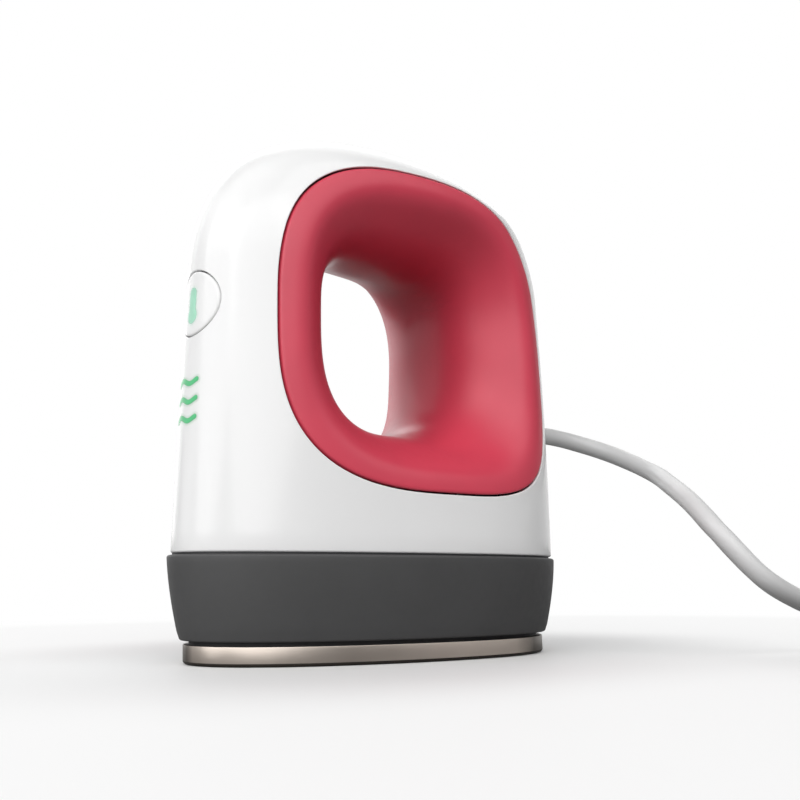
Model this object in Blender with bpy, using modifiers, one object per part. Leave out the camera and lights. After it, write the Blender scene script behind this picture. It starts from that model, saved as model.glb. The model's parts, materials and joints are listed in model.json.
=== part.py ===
# Mini heat press: a palm-sized press with a loop handle, built from its separate pieces.
# Metres, +Z up. The heat plate rests on z = 0, the nose with the power button faces -Y,
# and the handle's tunnel runs along X. The origin is the middle of the base on that plane.

import math

import bmesh
import bpy
from mathutils import Vector

# Clearances that every seat, joint line and cut shares
SEAT_GAP = 0.0003
CUT_OVERRUN = 0.004
FLOOR_CLEARANCE = 0.0001
MERGE_DISTANCE = 0.00001

# Plan of the base at the skirt's widest line: a rounded iron shape, nose towards -Y
BASE_LENGTH = 0.0884
BASE_WIDTH = 0.0546
WIDEST_SHARE = 0.64
NOSE_POWER = 1.64
TAIL_POWER = 2.6
TAIL_CORNER_POWER = 2.1
BASE_RAKE = 0.044
NOSE_POINTS = 13
TAIL_POINTS = 10
INNER_NOSE_POINTS = 9
INNER_TAIL_POINTS = 8

# Heat plate
PLATE_INSET = 0.0031
PLATE_THICKNESS = 0.00345
PLATE_EDGE_RADIUS = 0.0008
PLATE_STEP_INSET = 0.0070
PLATE_STEP_HEIGHT = 0.0016
PLATE_BOSS_RADIUS = 0.0032
PLATE_BORE_DEPTH = 0.0050

# Skirt, the dark band above the plate
PLATE_GAP = 0.00075
SKIRT_HEIGHT = 0.01525
SKIRT_DRAW = 0.0023
SKIRT_DRAW_POWER = 1.6
SKIRT_WALL = 0.0018
SKIRT_FLANGE = 0.00215
SKIRT_EDGE_RADIUS = 0.0005

# Outer shell
SEAM_GAP = 0.0006
SHELL_INSET = 0.0007
SHELL_HEIGHT = 0.08325
SHELL_WALL = 0.0020
FRONT_LEAN = 0.0017
REAR_LEAN = 0.0015
SIDE_DRAW = 0.0047
SIDE_DRAW_POWER = 2.3
TOP_FRONT_RADIUS = 0.0312
TOP_REAR_RADIUS = 0.0242
TOP_SIDE_RADIUS = 0.0107
TOP_FALL = 0.0062
SHELL_WALL_LEVELS = 5
SHELL_TOP_LEVELS = 12

# Grip loop: the line where the coloured liner meets the shell, and how far it rolls in
GRIP_FRONT_MARGIN = 0.01036
GRIP_REAR_MARGIN = 0.01147
GRIP_TOP_MARGIN = 0.0066
GRIP_BOTTOM_MARGIN = 0.0111
GRIP_SHARES = {"front": 0.532, "rear": 0.346, "top": 0.427, "bottom": 0.546}
GRIP_POWERS = {"top_front": 2.67, "top_rear": 2.96, "bottom_rear": 2.97, "bottom_front": 3.17}
TUNNEL_FRONT_ROLL = 0.01475
TUNNEL_REAR_ROLL = 0.0152
TUNNEL_TOP_ROLL = 0.01565
TUNNEL_BOTTOM_ROLL = 0.0138
TUNNEL_SHARES = {"front": 0.544, "rear": 0.536, "top": 0.478, "bottom": 0.526}
TUNNEL_POWERS = {"top_front": 2.98, "top_rear": 3.8, "bottom_rear": 2.58, "bottom_front": 3.08}
ROLL_POWER = 1.26
LINER_JOINT = 0.0004
LINER_SPLIT = 0.0003
LINER_WALL = 0.0018
LOOP_POINTS = 48
ROLL_STEPS = 6
RIM_TURN = math.radians(3)

# Base frame, which closes the shell's foot and clamps the skirt
SPIGOT_GAP = 0.0005
SPIGOT_HEIGHT = 0.0065
FRAME_WALL = 0.0018
FRAME_FLOOR = 0.0020
BOARD_BOSS_HEIGHT = 0.0050
BOARD_BOSS_RADIUS = 0.0026
RIB_THICKNESS = 0.0012
RIB_HEIGHT = 0.0050

# Heater stack between plate and frame
HEATER_RADIUS = 0.0025
HEATER_SPREAD_SHARE = 0.275
HEATER_FRONT_SHARE = -0.47
HEATER_REAR_SHARE = 0.695
STACK_INSET = 0.0078
PAD_THICKNESS = 0.0022
SHIELD_THICKNESS = 0.0008
SENSOR_RADIUS = 0.0015
SENSOR_LENGTH = 0.0070
SENSOR_PLACE_SHARE = -0.045
THERMAL_FUSE_RADIUS = 0.0020
THERMAL_FUSE_LENGTH = 0.0110
THERMAL_FUSE_PLACE_SHARE = 0.336

# Long screws through frame, shield and pad into the plate's bosses
SCREW_RADIUS = 0.0014
SCREW_HEAD_RADIUS = 0.0028
SCREW_HEAD_HEIGHT = 0.0018
SCREW_HOLE_CLEARANCE = 0.0003
PLATE_SCREW_FRONT_SHARES = (0.51, -0.27)
PLATE_SCREW_REAR_SHARES = (0.64, 0.45)

# Main board and what it carries
BOARD_THICKNESS = 0.0016
BOARD_LENGTH_SHARES = (-0.605, 0.706)
BOARD_WIDTH_SHARE = 0.714
BOARD_SCREW_RADIUS = 0.0012
BOARD_SCREW_HEAD_RADIUS = 0.0023
BOARD_SCREW_HEAD_HEIGHT = 0.0013
BOARD_SCREW_LENGTH = 0.0045
BOARD_SCREW_FRONT_SHARES = (0.29, -0.40)
BOARD_SCREW_REAR_SHARES = (0.44, 0.594)
TRANSFORMER_SIZE = (0.0150, 0.0130, 0.0110)
TRANSFORMER_PLACE_SHARES = (-0.293, 0.056)
RELAY_SIZE = (0.0100, 0.0120, 0.0100)
RELAY_PLACE_SHARES = (0.330, 0.168)
CAPACITOR_RADIUS = 0.0045
CAPACITOR_HEIGHT = 0.0130
CAPACITOR_PLACE_SHARES = (0.256, -0.180)
BUZZER_RADIUS = 0.0038
BUZZER_HEIGHT = 0.0045
BUZZER_PLACE_SHARES = (-0.238, -0.224)
TERMINAL_SIZE = (0.0150, 0.0080, 0.0090)
TERMINAL_PLACE_SHARE = 0.504
COMPONENT_EDGE = 0.0006

# Power button in the nose, its switch and the board behind them
BUTTON_RADIUS = 0.0063
BUTTON_JOINT = 0.0004
BUTTON_HEIGHT_SHARE = 0.5532
BUTTON_DEPTH = 0.0044
BUTTON_TAB_WIDTH = 0.0040
BUTTON_TAB_REACH = 0.0013
BUTTON_TAB_THICKNESS = 0.0010
BUTTON_STEM_RADIUS = 0.0022
SWITCH_SIZE = 0.0060
SWITCH_DEPTH = 0.0035
PLUNGER_RADIUS = 0.0016
PLUNGER_REACH = 0.0016
PLUNGER_SUNK = 0.0010
BUTTON_TRAVEL = 0.0006
NOSE_BOARD_WIDTH = 0.0150
NOSE_BOARD_SETBACK = 0.0122
NOSE_BOARD_MARGIN = 0.0049
LIGHT_COUNT = 3
LIGHT_PITCH = 0.0035
LIGHT_DROP = 0.0147
LIGHT_SIZE = (0.0030, 0.0014, 0.0014)
GUIDE_WIDTH = 0.0090
GUIDE_MARGIN = 0.0016
GUIDE_EDGE = 0.0005

# Cord exit, strain relief and the lead inside
EXIT_HEIGHT_SHARE = 0.3694
RELIEF_INNER_LENGTH = 0.0030
RELIEF_FLANGE_RADIUS = 0.0048
RELIEF_FLANGE_THICKNESS = 0.0014
RELIEF_NECK_RADIUS = 0.0033
RELIEF_COLLAR_THICKNESS = 0.0012
RELIEF_COLLAR_RADIUS = 0.0042
RELIEF_LENGTH = 0.0120
RELIEF_ROOT_RADIUS = 0.0032
RELIEF_TIP_RADIUS = 0.0025
RELIEF_HOLE_GAP = 0.0003
LEAD_RADIUS = 0.0018
WIRE_RADIUS = 0.0007
WIRE_HOLE_RADIUS = 0.0011
WIRE_RISE_SHARE = 0.762

# Cord: its full length, and the free stretch's route through hand-chosen points
CORD_LENGTH = 1.80
CORD_RADIUS = 0.00215
CORD_STEP_DIAMETERS = 2.0
CORD_ROUTE = [
    (0.0000, 0.0574, 0.0508),
    (0.0005, 0.0610, 0.0507),
    (0.0030, 0.0665, 0.0496),
    (0.0104, 0.0721, 0.0463),
    (0.0229, 0.0709, 0.0406),
    (0.0330, 0.0633, 0.0361),
    (0.0426, 0.0560, 0.0311),
    (0.0498, 0.0538, 0.0246),
    (0.0562, 0.0582, 0.0157),
    (0.0590, 0.0669, 0.0111),
    (0.0604, 0.0734, 0.0094),
    (0.0642, 0.0792, 0.0079),
    (0.0704, 0.0828, 0.0065),
    (0.0778, 0.0842, 0.0053),
    (0.0850, 0.0844, 0.0043),
    (0.0915, 0.0841, 0.0036),
]

# Coil of the unseen length, its tie and the plug
COIL_CENTRE_X = 0.1065
COIL_TOP_Y = 0.0840
COIL_TURNS = 10
COIL_LAYERS = 4
COIL_PITCH = 0.0049
COIL_POINTS_PER_TURN = 24
TAIL_BEND_RADIUS = 0.0120
TAIL_BEND_STEPS = 6
TIE_WIDTH = 0.0060
TIE_THICKNESS = 0.0005
TIE_ANGLE = math.radians(240)
PLUG_LENGTH = 0.0240
PLUG_WIDTH = 0.0240
PLUG_HEIGHT = 0.0150
PLUG_BACK_SHARE = 0.62
PLUG_EDGE_RADIUS = 0.0026
PLUG_COLLAR_LENGTH = 0.0120
PLUG_COLLAR_RADIUS = 0.0038
PLUG_COLLAR_TIP_RADIUS = 0.0027
BLADE_SPACING = 0.0127
BLADE_LENGTH = 0.0170
BLADE_WIDTH = 0.0064
BLADE_THICKNESS = 0.0015
BLADE_ROOT = 0.0030
BLADE_EDGE = 0.0006

# Heights that follow from the sizes above
SKIRT_BOTTOM_Z = PLATE_THICKNESS + PLATE_GAP
SKIRT_TOP_Z = SKIRT_BOTTOM_Z + SKIRT_HEIGHT
SHELL_BOTTOM_Z = SKIRT_TOP_Z + SEAM_GAP
SHELL_TOP_Z = SHELL_BOTTOM_Z + SHELL_HEIGHT
FRAME_FLOOR_Z = SKIRT_TOP_Z - SKIRT_FLANGE - SEAT_GAP
FRAME_UNDER_Z = FRAME_FLOOR_Z - FRAME_FLOOR
FRAME_INSET = SHELL_INSET + SHELL_WALL + SPIGOT_GAP
SPIGOT_TOP_Z = SHELL_BOTTOM_Z + SPIGOT_HEIGHT
STEP_TOP_Z = PLATE_THICKNESS + PLATE_STEP_HEIGHT
HEATER_Z = STEP_TOP_Z + SEAT_GAP + HEATER_RADIUS
PAD_Z = HEATER_Z + HEATER_RADIUS + SEAT_GAP
SHIELD_Z = PAD_Z + PAD_THICKNESS + SEAT_GAP
BOARD_Z = FRAME_FLOOR_Z + BOARD_BOSS_HEIGHT + SEAT_GAP
BOARD_TOP_Z = BOARD_Z + BOARD_THICKNESS
COMPONENT_Z = BOARD_TOP_Z + SEAT_GAP
HEATER_SPREAD = HEATER_SPREAD_SHARE * BASE_WIDTH / 2
HEATER_FRONT_Y = HEATER_FRONT_SHARE * BASE_LENGTH / 2
HEATER_REAR_Y = HEATER_REAR_SHARE * BASE_LENGTH / 2
WIRE_RISE_Y = WIRE_RISE_SHARE * BASE_LENGTH / 2
TERMINAL_Y = TERMINAL_PLACE_SHARE * BASE_LENGTH / 2
BUTTON_Z = SHELL_BOTTOM_Z + BUTTON_HEIGHT_SHARE * SHELL_HEIGHT
EXIT_Z = SHELL_BOTTOM_Z + EXIT_HEIGHT_SHARE * SHELL_HEIGHT
NOSE_BOARD_Y = -BASE_LENGTH / 2 + SHELL_INSET + NOSE_BOARD_SETBACK
NOSE_BOARD_TOP_Z = BUTTON_Z + SWITCH_SIZE / 2 + NOSE_BOARD_MARGIN
LIGHT_TOP_Z = BUTTON_Z - LIGHT_DROP
CORD_DIAMETER = CORD_RADIUS * 2
COIL_FLOOR_Z = CORD_RADIUS + TIE_THICKNESS + SEAT_GAP + FLOOR_CLEARANCE

MATERIALS = {
    "white_shell": ((0.86, 0.86, 0.87), 0.22, 0.0),
    "raspberry_grip": ((0.62, 0.055, 0.10), 0.42, 0.0),
    "charcoal_skirt": ((0.062, 0.062, 0.066), 0.55, 0.0),
    "black_frame": ((0.02, 0.02, 0.022), 0.60, 0.0),
    "rose_plate": ((0.72, 0.60, 0.53), 0.30, 1.0),
    "steel": ((0.60, 0.60, 0.62), 0.32, 1.0),
    "mica_pad": ((0.74, 0.70, 0.60), 0.85, 0.0),
    "board_green": ((0.02, 0.16, 0.07), 0.45, 0.0),
    "component_black": ((0.03, 0.03, 0.033), 0.50, 0.0),
    "component_yellow": ((0.75, 0.58, 0.10), 0.50, 0.0),
    "terminal_blue": ((0.05, 0.18, 0.45), 0.45, 0.0),
    "clear_guide": ((0.82, 0.90, 0.86), 0.15, 0.0),
    "light_green": ((0.10, 0.75, 0.33), 0.30, 0.0),
    "white_cord": ((0.84, 0.84, 0.85), 0.40, 0.0),
    "tie_black": ((0.04, 0.04, 0.04), 0.70, 0.0),
}


def clear_scene():
    for item in list(bpy.data.objects):
        bpy.data.objects.remove(item, do_unlink=True)


def make_collection(name):
    collection = bpy.data.collections.new(name)
    bpy.context.scene.collection.children.link(collection)
    return collection


def make_material(name):
    colour, roughness, metallic = MATERIALS[name]
    material = bpy.data.materials.get(name) or bpy.data.materials.new(name)
    material.use_nodes = True
    shader = material.node_tree.nodes["Principled BSDF"]
    shader.inputs["Base Color"].default_value = (*colour, 1.0)
    shader.inputs["Roughness"].default_value = roughness
    shader.inputs["Metallic"].default_value = metallic
    material.diffuse_color = (*colour, 1.0)
    return material


def add_object(name, data, material=None):
    """Link a piece into the product, or a cutter into the construction collection."""
    item = bpy.data.objects.new(name, data)
    if material:
        data.materials.append(make_material(material))
        PRODUCT.objects.link(item)
    else:
        item.hide_render = True
        item.display_type = "WIRE"
        CONSTRUCTION.objects.link(item)
    return item


def smooth(item, angle=math.radians(35)):
    item.data.shade_smooth()
    item.data.set_sharp_from_angle(angle=angle)
    return item


def mesh_from(name, rings, wrap=False):
    """Skin a row of closed rings. The end rings are capped, or joined to each other if wrap is set."""
    mesh = bpy.data.meshes.new(name)
    work = bmesh.new()
    rows = [[work.verts.new(point) for point in ring] for ring in rings]
    pairs = list(zip(rows, rows[1:] + rows[:1])) if wrap else list(zip(rows, rows[1:]))
    for lower, upper in pairs:
        count = len(lower)
        for i in range(count):
            j = (i + 1) % count
            work.faces.new((lower[i], lower[j], upper[j], upper[i]))
    if not wrap:
        work.faces.new(rows[0])
        work.faces.new(rows[-1])
    bmesh.ops.recalc_face_normals(work, faces=work.faces)
    work.to_mesh(mesh)
    work.free()
    return mesh


def combine(item, tool, operation):
    step = item.modifiers.new(tool.name, "BOOLEAN")
    step.operation = operation
    step.object = tool
    step.solver = "EXACT"
    return item


def cut(item, tool):
    return combine(item, tool, "DIFFERENCE")


def join(item, tool):
    return combine(item, tool, "UNION")


def cylinder(name, radius, start, end, material=None, sides=20, tip_radius=None):
    """A round bar, or a cone, from start to end."""
    start, end = Vector(start), Vector(end)
    mesh = bpy.data.meshes.new(name)
    work = bmesh.new()
    bmesh.ops.create_cone(
        work, cap_ends=True, segments=sides, radius1=radius,
        radius2=radius if tip_radius is None else tip_radius, depth=(end - start).length,
    )
    work.to_mesh(mesh)
    work.free()
    item = add_object(name, mesh, material)
    item.location = (start + end) / 2
    item.rotation_mode = "QUATERNION"
    item.rotation_quaternion = (end - start).to_track_quat("Z", "Y")
    return smooth(item)


def box(name, size, centre, material=None, edge=0.0):
    mesh = bpy.data.meshes.new(name)
    work = bmesh.new()
    bmesh.ops.create_cube(work, size=1.0)
    bmesh.ops.scale(work, vec=Vector(size), verts=work.verts)
    work.to_mesh(mesh)
    work.free()
    item = add_object(name, mesh, material)
    item.location = centre
    if edge:
        bevel = item.modifiers.new("edge", "BEVEL")
        bevel.width = edge
        bevel.segments = 1
    return item


def turned(name, profile, material, sides=16):
    """A round piece turned about its own Z. The profile runs down from top to bottom."""
    mesh = bpy.data.meshes.new(name)
    work = bmesh.new()
    corners = [work.verts.new((radius, 0, height)) for radius, height in profile]
    for upper, lower in zip(corners, corners[1:]):
        work.edges.new((upper, lower))
    work.to_mesh(mesh)
    work.free()
    item = add_object(name, mesh, material)
    spin = item.modifiers.new("turn", "SCREW")
    spin.steps = sides
    spin.render_steps = sides
    spin.use_merge_vertices = True
    spin.merge_threshold = MERGE_DISTANCE
    return item


def flat(name, outline, thickness, material=None):
    """A flat piece cut from an outline, as thick as given, about its own XY plane."""
    curve = bpy.data.curves.new(name, "CURVE")
    curve.dimensions = "2D"
    curve.fill_mode = "BOTH"
    curve.extrude = thickness / 2
    spline = curve.splines.new("POLY")
    spline.points.add(len(outline) - 1)
    spline.use_cyclic_u = True
    for place, (x, y) in zip(spline.points, outline):
        place.co = (x, y, 0, 1)
    holder = bpy.data.objects.new(name + "_outline", curve)
    CONSTRUCTION.objects.link(holder)
    mesh = bpy.data.meshes.new_from_object(holder.evaluated_get(bpy.context.evaluated_depsgraph_get()))
    bpy.data.objects.remove(holder, do_unlink=True)
    work = bmesh.new()
    work.from_mesh(mesh)
    bmesh.ops.remove_doubles(work, verts=work.verts, dist=MERGE_DISTANCE)
    bmesh.ops.recalc_face_normals(work, faces=work.faces)
    work.to_mesh(mesh)
    work.free()
    mesh.name = name
    return add_object(name, mesh, material)


def tube(name, points, radius, material, resolution=2):
    """A curve object with a round section and filled caps."""
    curve = bpy.data.curves.new(name, "CURVE")
    curve.dimensions = "3D"
    curve.bevel_depth = radius
    curve.bevel_resolution = resolution
    curve.use_fill_caps = True
    curve.twist_mode = "Z_UP"
    spline = curve.splines.new("POLY")
    spline.points.add(len(points) - 1)
    for place, point in zip(spline.points, points):
        place.co = (*point, 1.0)
    return add_object(name, curve, material)


def power_arc(angle, first_power, second_power):
    """One quarter of a rounded outline: shares across and along for an angle from 0 to a right angle."""
    return math.cos(angle) ** (2 / first_power), math.sin(angle) ** (2 / second_power)


def plan_outline(front, rear, half_width, nose_points=NOSE_POINTS, tail_points=TAIL_POINTS):
    """The iron-shaped plan between front and rear, starting at the nose and turning towards +X."""
    widest = front + WIDEST_SHARE * (rear - front)
    right = []
    for step in range(nose_points):
        across, ahead = power_arc(math.pi / 2 * (1 - step / nose_points), 2, NOSE_POWER)
        right.append((half_width * across, widest - (widest - front) * ahead))
    for step in range(tail_points):
        across, behind = power_arc(math.pi / 2 * step / tail_points, TAIL_CORNER_POWER, TAIL_POWER)
        right.append((half_width * across, widest + (rear - widest) * behind))
    left = [(-x, y) for x, y in reversed(right[1:])]
    return [(0.0, front)] + right[1:] + [(0.0, rear)] + left


def base_rake(z):
    """How far the base's section has moved back at height z: its nose leans in more than its rear."""
    return BASE_RAKE * max(0.0, SKIRT_TOP_Z - z)


def plan_ring(inset, z, inner=False):
    """The base's plan, drawn in by inset, at height z."""
    points = (INNER_NOSE_POINTS, INNER_TAIL_POINTS) if inner else (NOSE_POINTS, TAIL_POINTS)
    end = BASE_LENGTH / 2 - inset
    outline = plan_outline(-end, end, BASE_WIDTH / 2 - inset, *points)
    return [(x, y + base_rake(z), z) for x, y in outline]


def plan_body(name, stations, material, wrap=False, inner=False):
    """A piece whose sections all follow the base's plan; stations are (inset, z) pairs."""
    mesh = mesh_from(name, [plan_ring(inset, z, inner) for inset, z in stations], wrap)
    return smooth(add_object(name, mesh, material))


def corner_draw(z, radius):
    """How far a rounded top corner has drawn the wall in at height z."""
    rise = min(1.0, max(0.0, z - (SHELL_TOP_Z - radius)) / radius)
    return radius * (1 - math.sqrt(1 - rise * rise))


def shell_section(z):
    """Front, rear and half width of the shell's section at height z, before the top's fall."""
    share = max(0.0, (z - SHELL_BOTTOM_Z) / SHELL_HEIGHT)
    front = -BASE_LENGTH / 2 + SHELL_INSET + FRONT_LEAN * share + corner_draw(z, TOP_FRONT_RADIUS)
    rear = BASE_LENGTH / 2 - SHELL_INSET - REAR_LEAN * share - corner_draw(z, TOP_REAR_RADIUS)
    side = BASE_WIDTH / 2 - SHELL_INSET - SIDE_DRAW * share ** SIDE_DRAW_POWER
    return front, rear, side - corner_draw(z, TOP_SIDE_RADIUS)


def top_fall(y, z):
    """How far a point of the shell is lowered towards the rear, more so near the top."""
    share = max(0.0, (z - SHELL_BOTTOM_Z) / SHELL_HEIGHT)
    return TOP_FALL * share ** 2 * y / (BASE_LENGTH / 2)


def section_height(y, z):
    """The height, before the top's fall, of the section that passes through (y, z)."""
    level = z
    for _ in range(8):
        level = z + top_fall(y, level)
    return level


def half_width_at(y, z):
    """Half the shell's width at a place on its side."""
    front, rear, half_width = shell_section(section_height(y, z))
    widest = front + WIDEST_SHARE * (rear - front)
    if y < widest:
        reach = min(1.0, (widest - y) / (widest - front))
        return half_width * math.sqrt(1 - reach ** NOSE_POWER)
    reach = min(1.0, (y - widest) / (rear - widest))
    return half_width * (1 - reach ** TAIL_POWER) ** (1 / TAIL_CORNER_POWER)


def shell_heights():
    """Even steps up the wall, then steps that follow the top's rounding."""
    bend = SHELL_TOP_Z - TOP_FRONT_RADIUS
    rise = (bend - SHELL_BOTTOM_Z) / SHELL_WALL_LEVELS
    walls = [SHELL_BOTTOM_Z + rise * i for i in range(SHELL_WALL_LEVELS)]
    turns = [math.pi / 2 * i / SHELL_TOP_LEVELS for i in range(SHELL_TOP_LEVELS + 1)]
    return walls + [bend + TOP_FRONT_RADIUS * math.sin(turn) for turn in turns]


def shell_rings():
    rings = []
    for z in shell_heights():
        outline = plan_outline(*shell_section(z))
        rings.append([(x, y, z - top_fall(y, z)) for x, y in outline])
    return rings


def loop_outline(front, top, rear, bottom, powers, count=LOOP_POINTS):
    """A rounded loop in the YZ plane through four extreme points, each quarter with its own power."""
    points = []
    for step in range(count):
        angle = 2 * math.pi * step / count
        c, s = math.cos(angle), math.sin(angle)
        across = rear if c >= 0 else front
        upright = top if s >= 0 else bottom
        name = ("top_" if s >= 0 else "bottom_") + ("rear" if c >= 0 else "front")
        share_y = abs(c) ** (2 / powers[name])
        share_z = abs(s) ** (2 / powers[name])
        points.append((
            upright[0] + (across[0] - upright[0]) * share_y,
            across[1] + (upright[1] - across[1]) * share_z,
        ))
    return points


def grip_extremes(shares, front_roll=0.0, rear_roll=0.0, top_roll=0.0, bottom_roll=0.0):
    """A loop's four extreme points: the rim's, or with rolls the tunnel's narrowest line."""
    mid = SHELL_BOTTOM_Z + SHELL_HEIGHT / 2
    front_y = shell_section(mid)[0] + GRIP_FRONT_MARGIN
    rear_y = shell_section(mid)[1] - GRIP_REAR_MARGIN
    bottom_z = SHELL_BOTTOM_Z + GRIP_BOTTOM_MARGIN
    top_z = SHELL_TOP_Z - GRIP_TOP_MARGIN
    length, height = rear_y - front_y, top_z - bottom_z
    return {
        "front": (front_y + front_roll, bottom_z + height * shares["front"]),
        "rear": (rear_y - rear_roll, bottom_z + height * shares["rear"]),
        "top": (front_y + length * shares["top"], top_z - top_roll),
        "bottom": (front_y + length * shares["bottom"], bottom_z + bottom_roll),
    }


def grip_loop():
    return loop_outline(**grip_extremes(GRIP_SHARES), powers=GRIP_POWERS)


def tunnel_loop():
    extremes = grip_extremes(
        TUNNEL_SHARES, TUNNEL_FRONT_ROLL, TUNNEL_REAR_ROLL, TUNNEL_TOP_ROLL, TUNNEL_BOTTOM_ROLL,
    )
    return loop_outline(**extremes, powers=TUNNEL_POWERS)


def grow_loop(points, distance):
    """Move a closed YZ outline outwards along its normals."""
    grown = []
    count = len(points)
    for i in range(count):
        before, after = Vector(points[i - 1]), Vector(points[(i + 1) % count])
        along = (after - before).normalized()
        grown.append((points[i][0] + along.y * distance, points[i][1] - along.x * distance))
    return grown


def window_cutter():
    outline = grow_loop(grip_loop(), LINER_JOINT / 2)
    cutter = flat("window_cutter", outline, BASE_WIDTH + 2 * CUT_OVERRUN)
    cutter.rotation_euler = (math.pi / 2, 0, math.pi / 2)
    return cutter


def make_housing_shell():
    """The white outer shell: a lofted wall open at its foot, with its windows, button and cord holes."""
    mesh = bpy.data.meshes.new("housing_shell")
    work = bmesh.new()
    rows = [[work.verts.new(point) for point in ring] for ring in shell_rings()]
    for lower, upper in zip(rows, rows[1:]):
        for i in range(len(lower)):
            j = (i + 1) % len(lower)
            work.faces.new((lower[i], lower[j], upper[j], upper[i]))
    work.faces.new(rows[-1])
    bmesh.ops.recalc_face_normals(work, faces=work.faces)
    work.to_mesh(mesh)
    work.free()
    shell = add_object("housing_shell", mesh, "white_shell")
    wall = shell.modifiers.new("wall", "SOLIDIFY")
    wall.thickness = SHELL_WALL
    wall.offset = -1.0
    wall.use_even_offset = True
    cut(shell, window_cutter())
    hole_front = -BASE_LENGTH / 2 - CUT_OVERRUN
    hole_back = shell_section(BUTTON_Z)[0] + BUTTON_RADIUS + SHELL_WALL
    cut(shell, cylinder(
        "button_hole", BUTTON_RADIUS + BUTTON_JOINT,
        (0, hole_front, BUTTON_Z), (0, hole_back, BUTTON_Z), sides=32,
    ))
    rear = rear_face_y()
    cut(shell, cylinder(
        "cord_hole", RELIEF_NECK_RADIUS + RELIEF_HOLE_GAP,
        (0, rear - SHELL_WALL - CUT_OVERRUN, EXIT_Z), (0, rear + CUT_OVERRUN, EXIT_Z),
    ))
    return smooth(shell)


def rear_face_y():
    """Where the shell's outer face lies at the cord's exit."""
    return shell_section(section_height(BASE_LENGTH / 2, EXIT_Z))[1]


def relief_inner_face():
    """Where the gland's flange bears inside, measured from the outer face: clear of the wall's curve."""
    front, rear, half_width = shell_section(section_height(BASE_LENGTH / 2, EXIT_Z))
    tail = (rear - front) * (1 - WIDEST_SHARE)
    across = (RELIEF_FLANGE_RADIUS / half_width) ** TAIL_CORNER_POWER
    curve = tail * (1 - (1 - across) ** (1 / TAIL_POWER))
    return -SHELL_WALL - SEAT_GAP - curve


def nose_face_y(z):
    """Where the shell's outer face lies on the nose's middle line."""
    return shell_section(section_height(-BASE_LENGTH / 2, z))[0]


def make_grip_liners():
    """The coloured tunnel: its wall leaves the shell's side flush and rolls in to a narrow middle."""
    outer = grow_loop(grip_loop(), -LINER_JOINT / 2)
    inner = tunnel_loop()
    count = 2 * ROLL_STEPS
    turns = [RIM_TURN + (math.pi - 2 * RIM_TURN) * step / count for step in range(count + 1)]
    rings = []
    for turn in [0.0] + turns + [math.pi]:
        ring = []
        roll = max(0.0, math.sin(turn)) ** ROLL_POWER
        for (y0, z0), (y1, z1) in zip(outer, inner):
            y = y0 + (y1 - y0) * roll
            z = z0 + (z1 - z0) * roll
            ring.append((half_width_at(y, z) * math.cos(turn), y, z))
        rings.append(ring)
    liners = []
    for side, name in ((1, "grip_liner_right"), (-1, "grip_liner_left")):
        mesh = bpy.data.meshes.new(name)
        work = bmesh.new()
        rows = [[work.verts.new(point) for point in ring] for ring in rings]
        for near, far in zip(rows, rows[1:]):
            for i in range(LOOP_POINTS):
                j = (i + 1) % LOOP_POINTS
                work.faces.new((near[i], near[j], far[j], far[i]))
        work.to_mesh(mesh)
        work.free()
        liner = add_object(name, mesh, "raspberry_grip")
        wall = liner.modifiers.new("wall", "SOLIDIFY")
        wall.thickness = LINER_WALL
        wall.offset = -1.0
        wall.use_even_offset = True
        half = box(
            name + "_half", (BASE_WIDTH, BASE_LENGTH, SHELL_HEIGHT),
            (side * (BASE_WIDTH + LINER_SPLIT) / 2, 0, SHELL_BOTTOM_Z + SHELL_HEIGHT / 2),
        )
        combine(liner, half, "INTERSECT")
        liners.append(smooth(liner))
    return liners


def skirt_inset(z):
    """The skirt's outer face leans in below its widest line, a little convex."""
    share = (SKIRT_TOP_Z - z) / SKIRT_HEIGHT
    return SKIRT_DRAW * share ** SKIRT_DRAW_POWER


def make_skirt():
    """The dark band: a thin wall with rounded edges and a flange that the frame clamps."""
    radius = SKIRT_EDGE_RADIUS
    rise = [SKIRT_BOTTOM_Z + radius + (SKIRT_HEIGHT - 2 * radius) * i / 4 for i in range(5)]
    outer = [(skirt_inset(z), z) for z in rise]
    bend = radius * (1 - math.cos(math.pi / 4))
    top_edge = [(bend, SKIRT_TOP_Z - bend), (radius, SKIRT_TOP_Z)]
    foot = skirt_inset(SKIRT_BOTTOM_Z)
    foot_edge = [(foot + radius, SKIRT_BOTTOM_Z), (foot + bend, SKIRT_BOTTOM_Z + bend)]
    flange = FRAME_INSET - SEAT_GAP
    flange_z = SKIRT_TOP_Z - SKIRT_FLANGE
    inner = [
        (flange, SKIRT_TOP_Z),
        (flange, flange_z),
        (skirt_inset(flange_z) + SKIRT_WALL, flange_z),
        (foot + SKIRT_WALL, SKIRT_BOTTOM_Z),
    ]
    return plan_body("skirt", foot_edge + outer + top_edge + inner, "charcoal_skirt", wrap=True)


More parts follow.
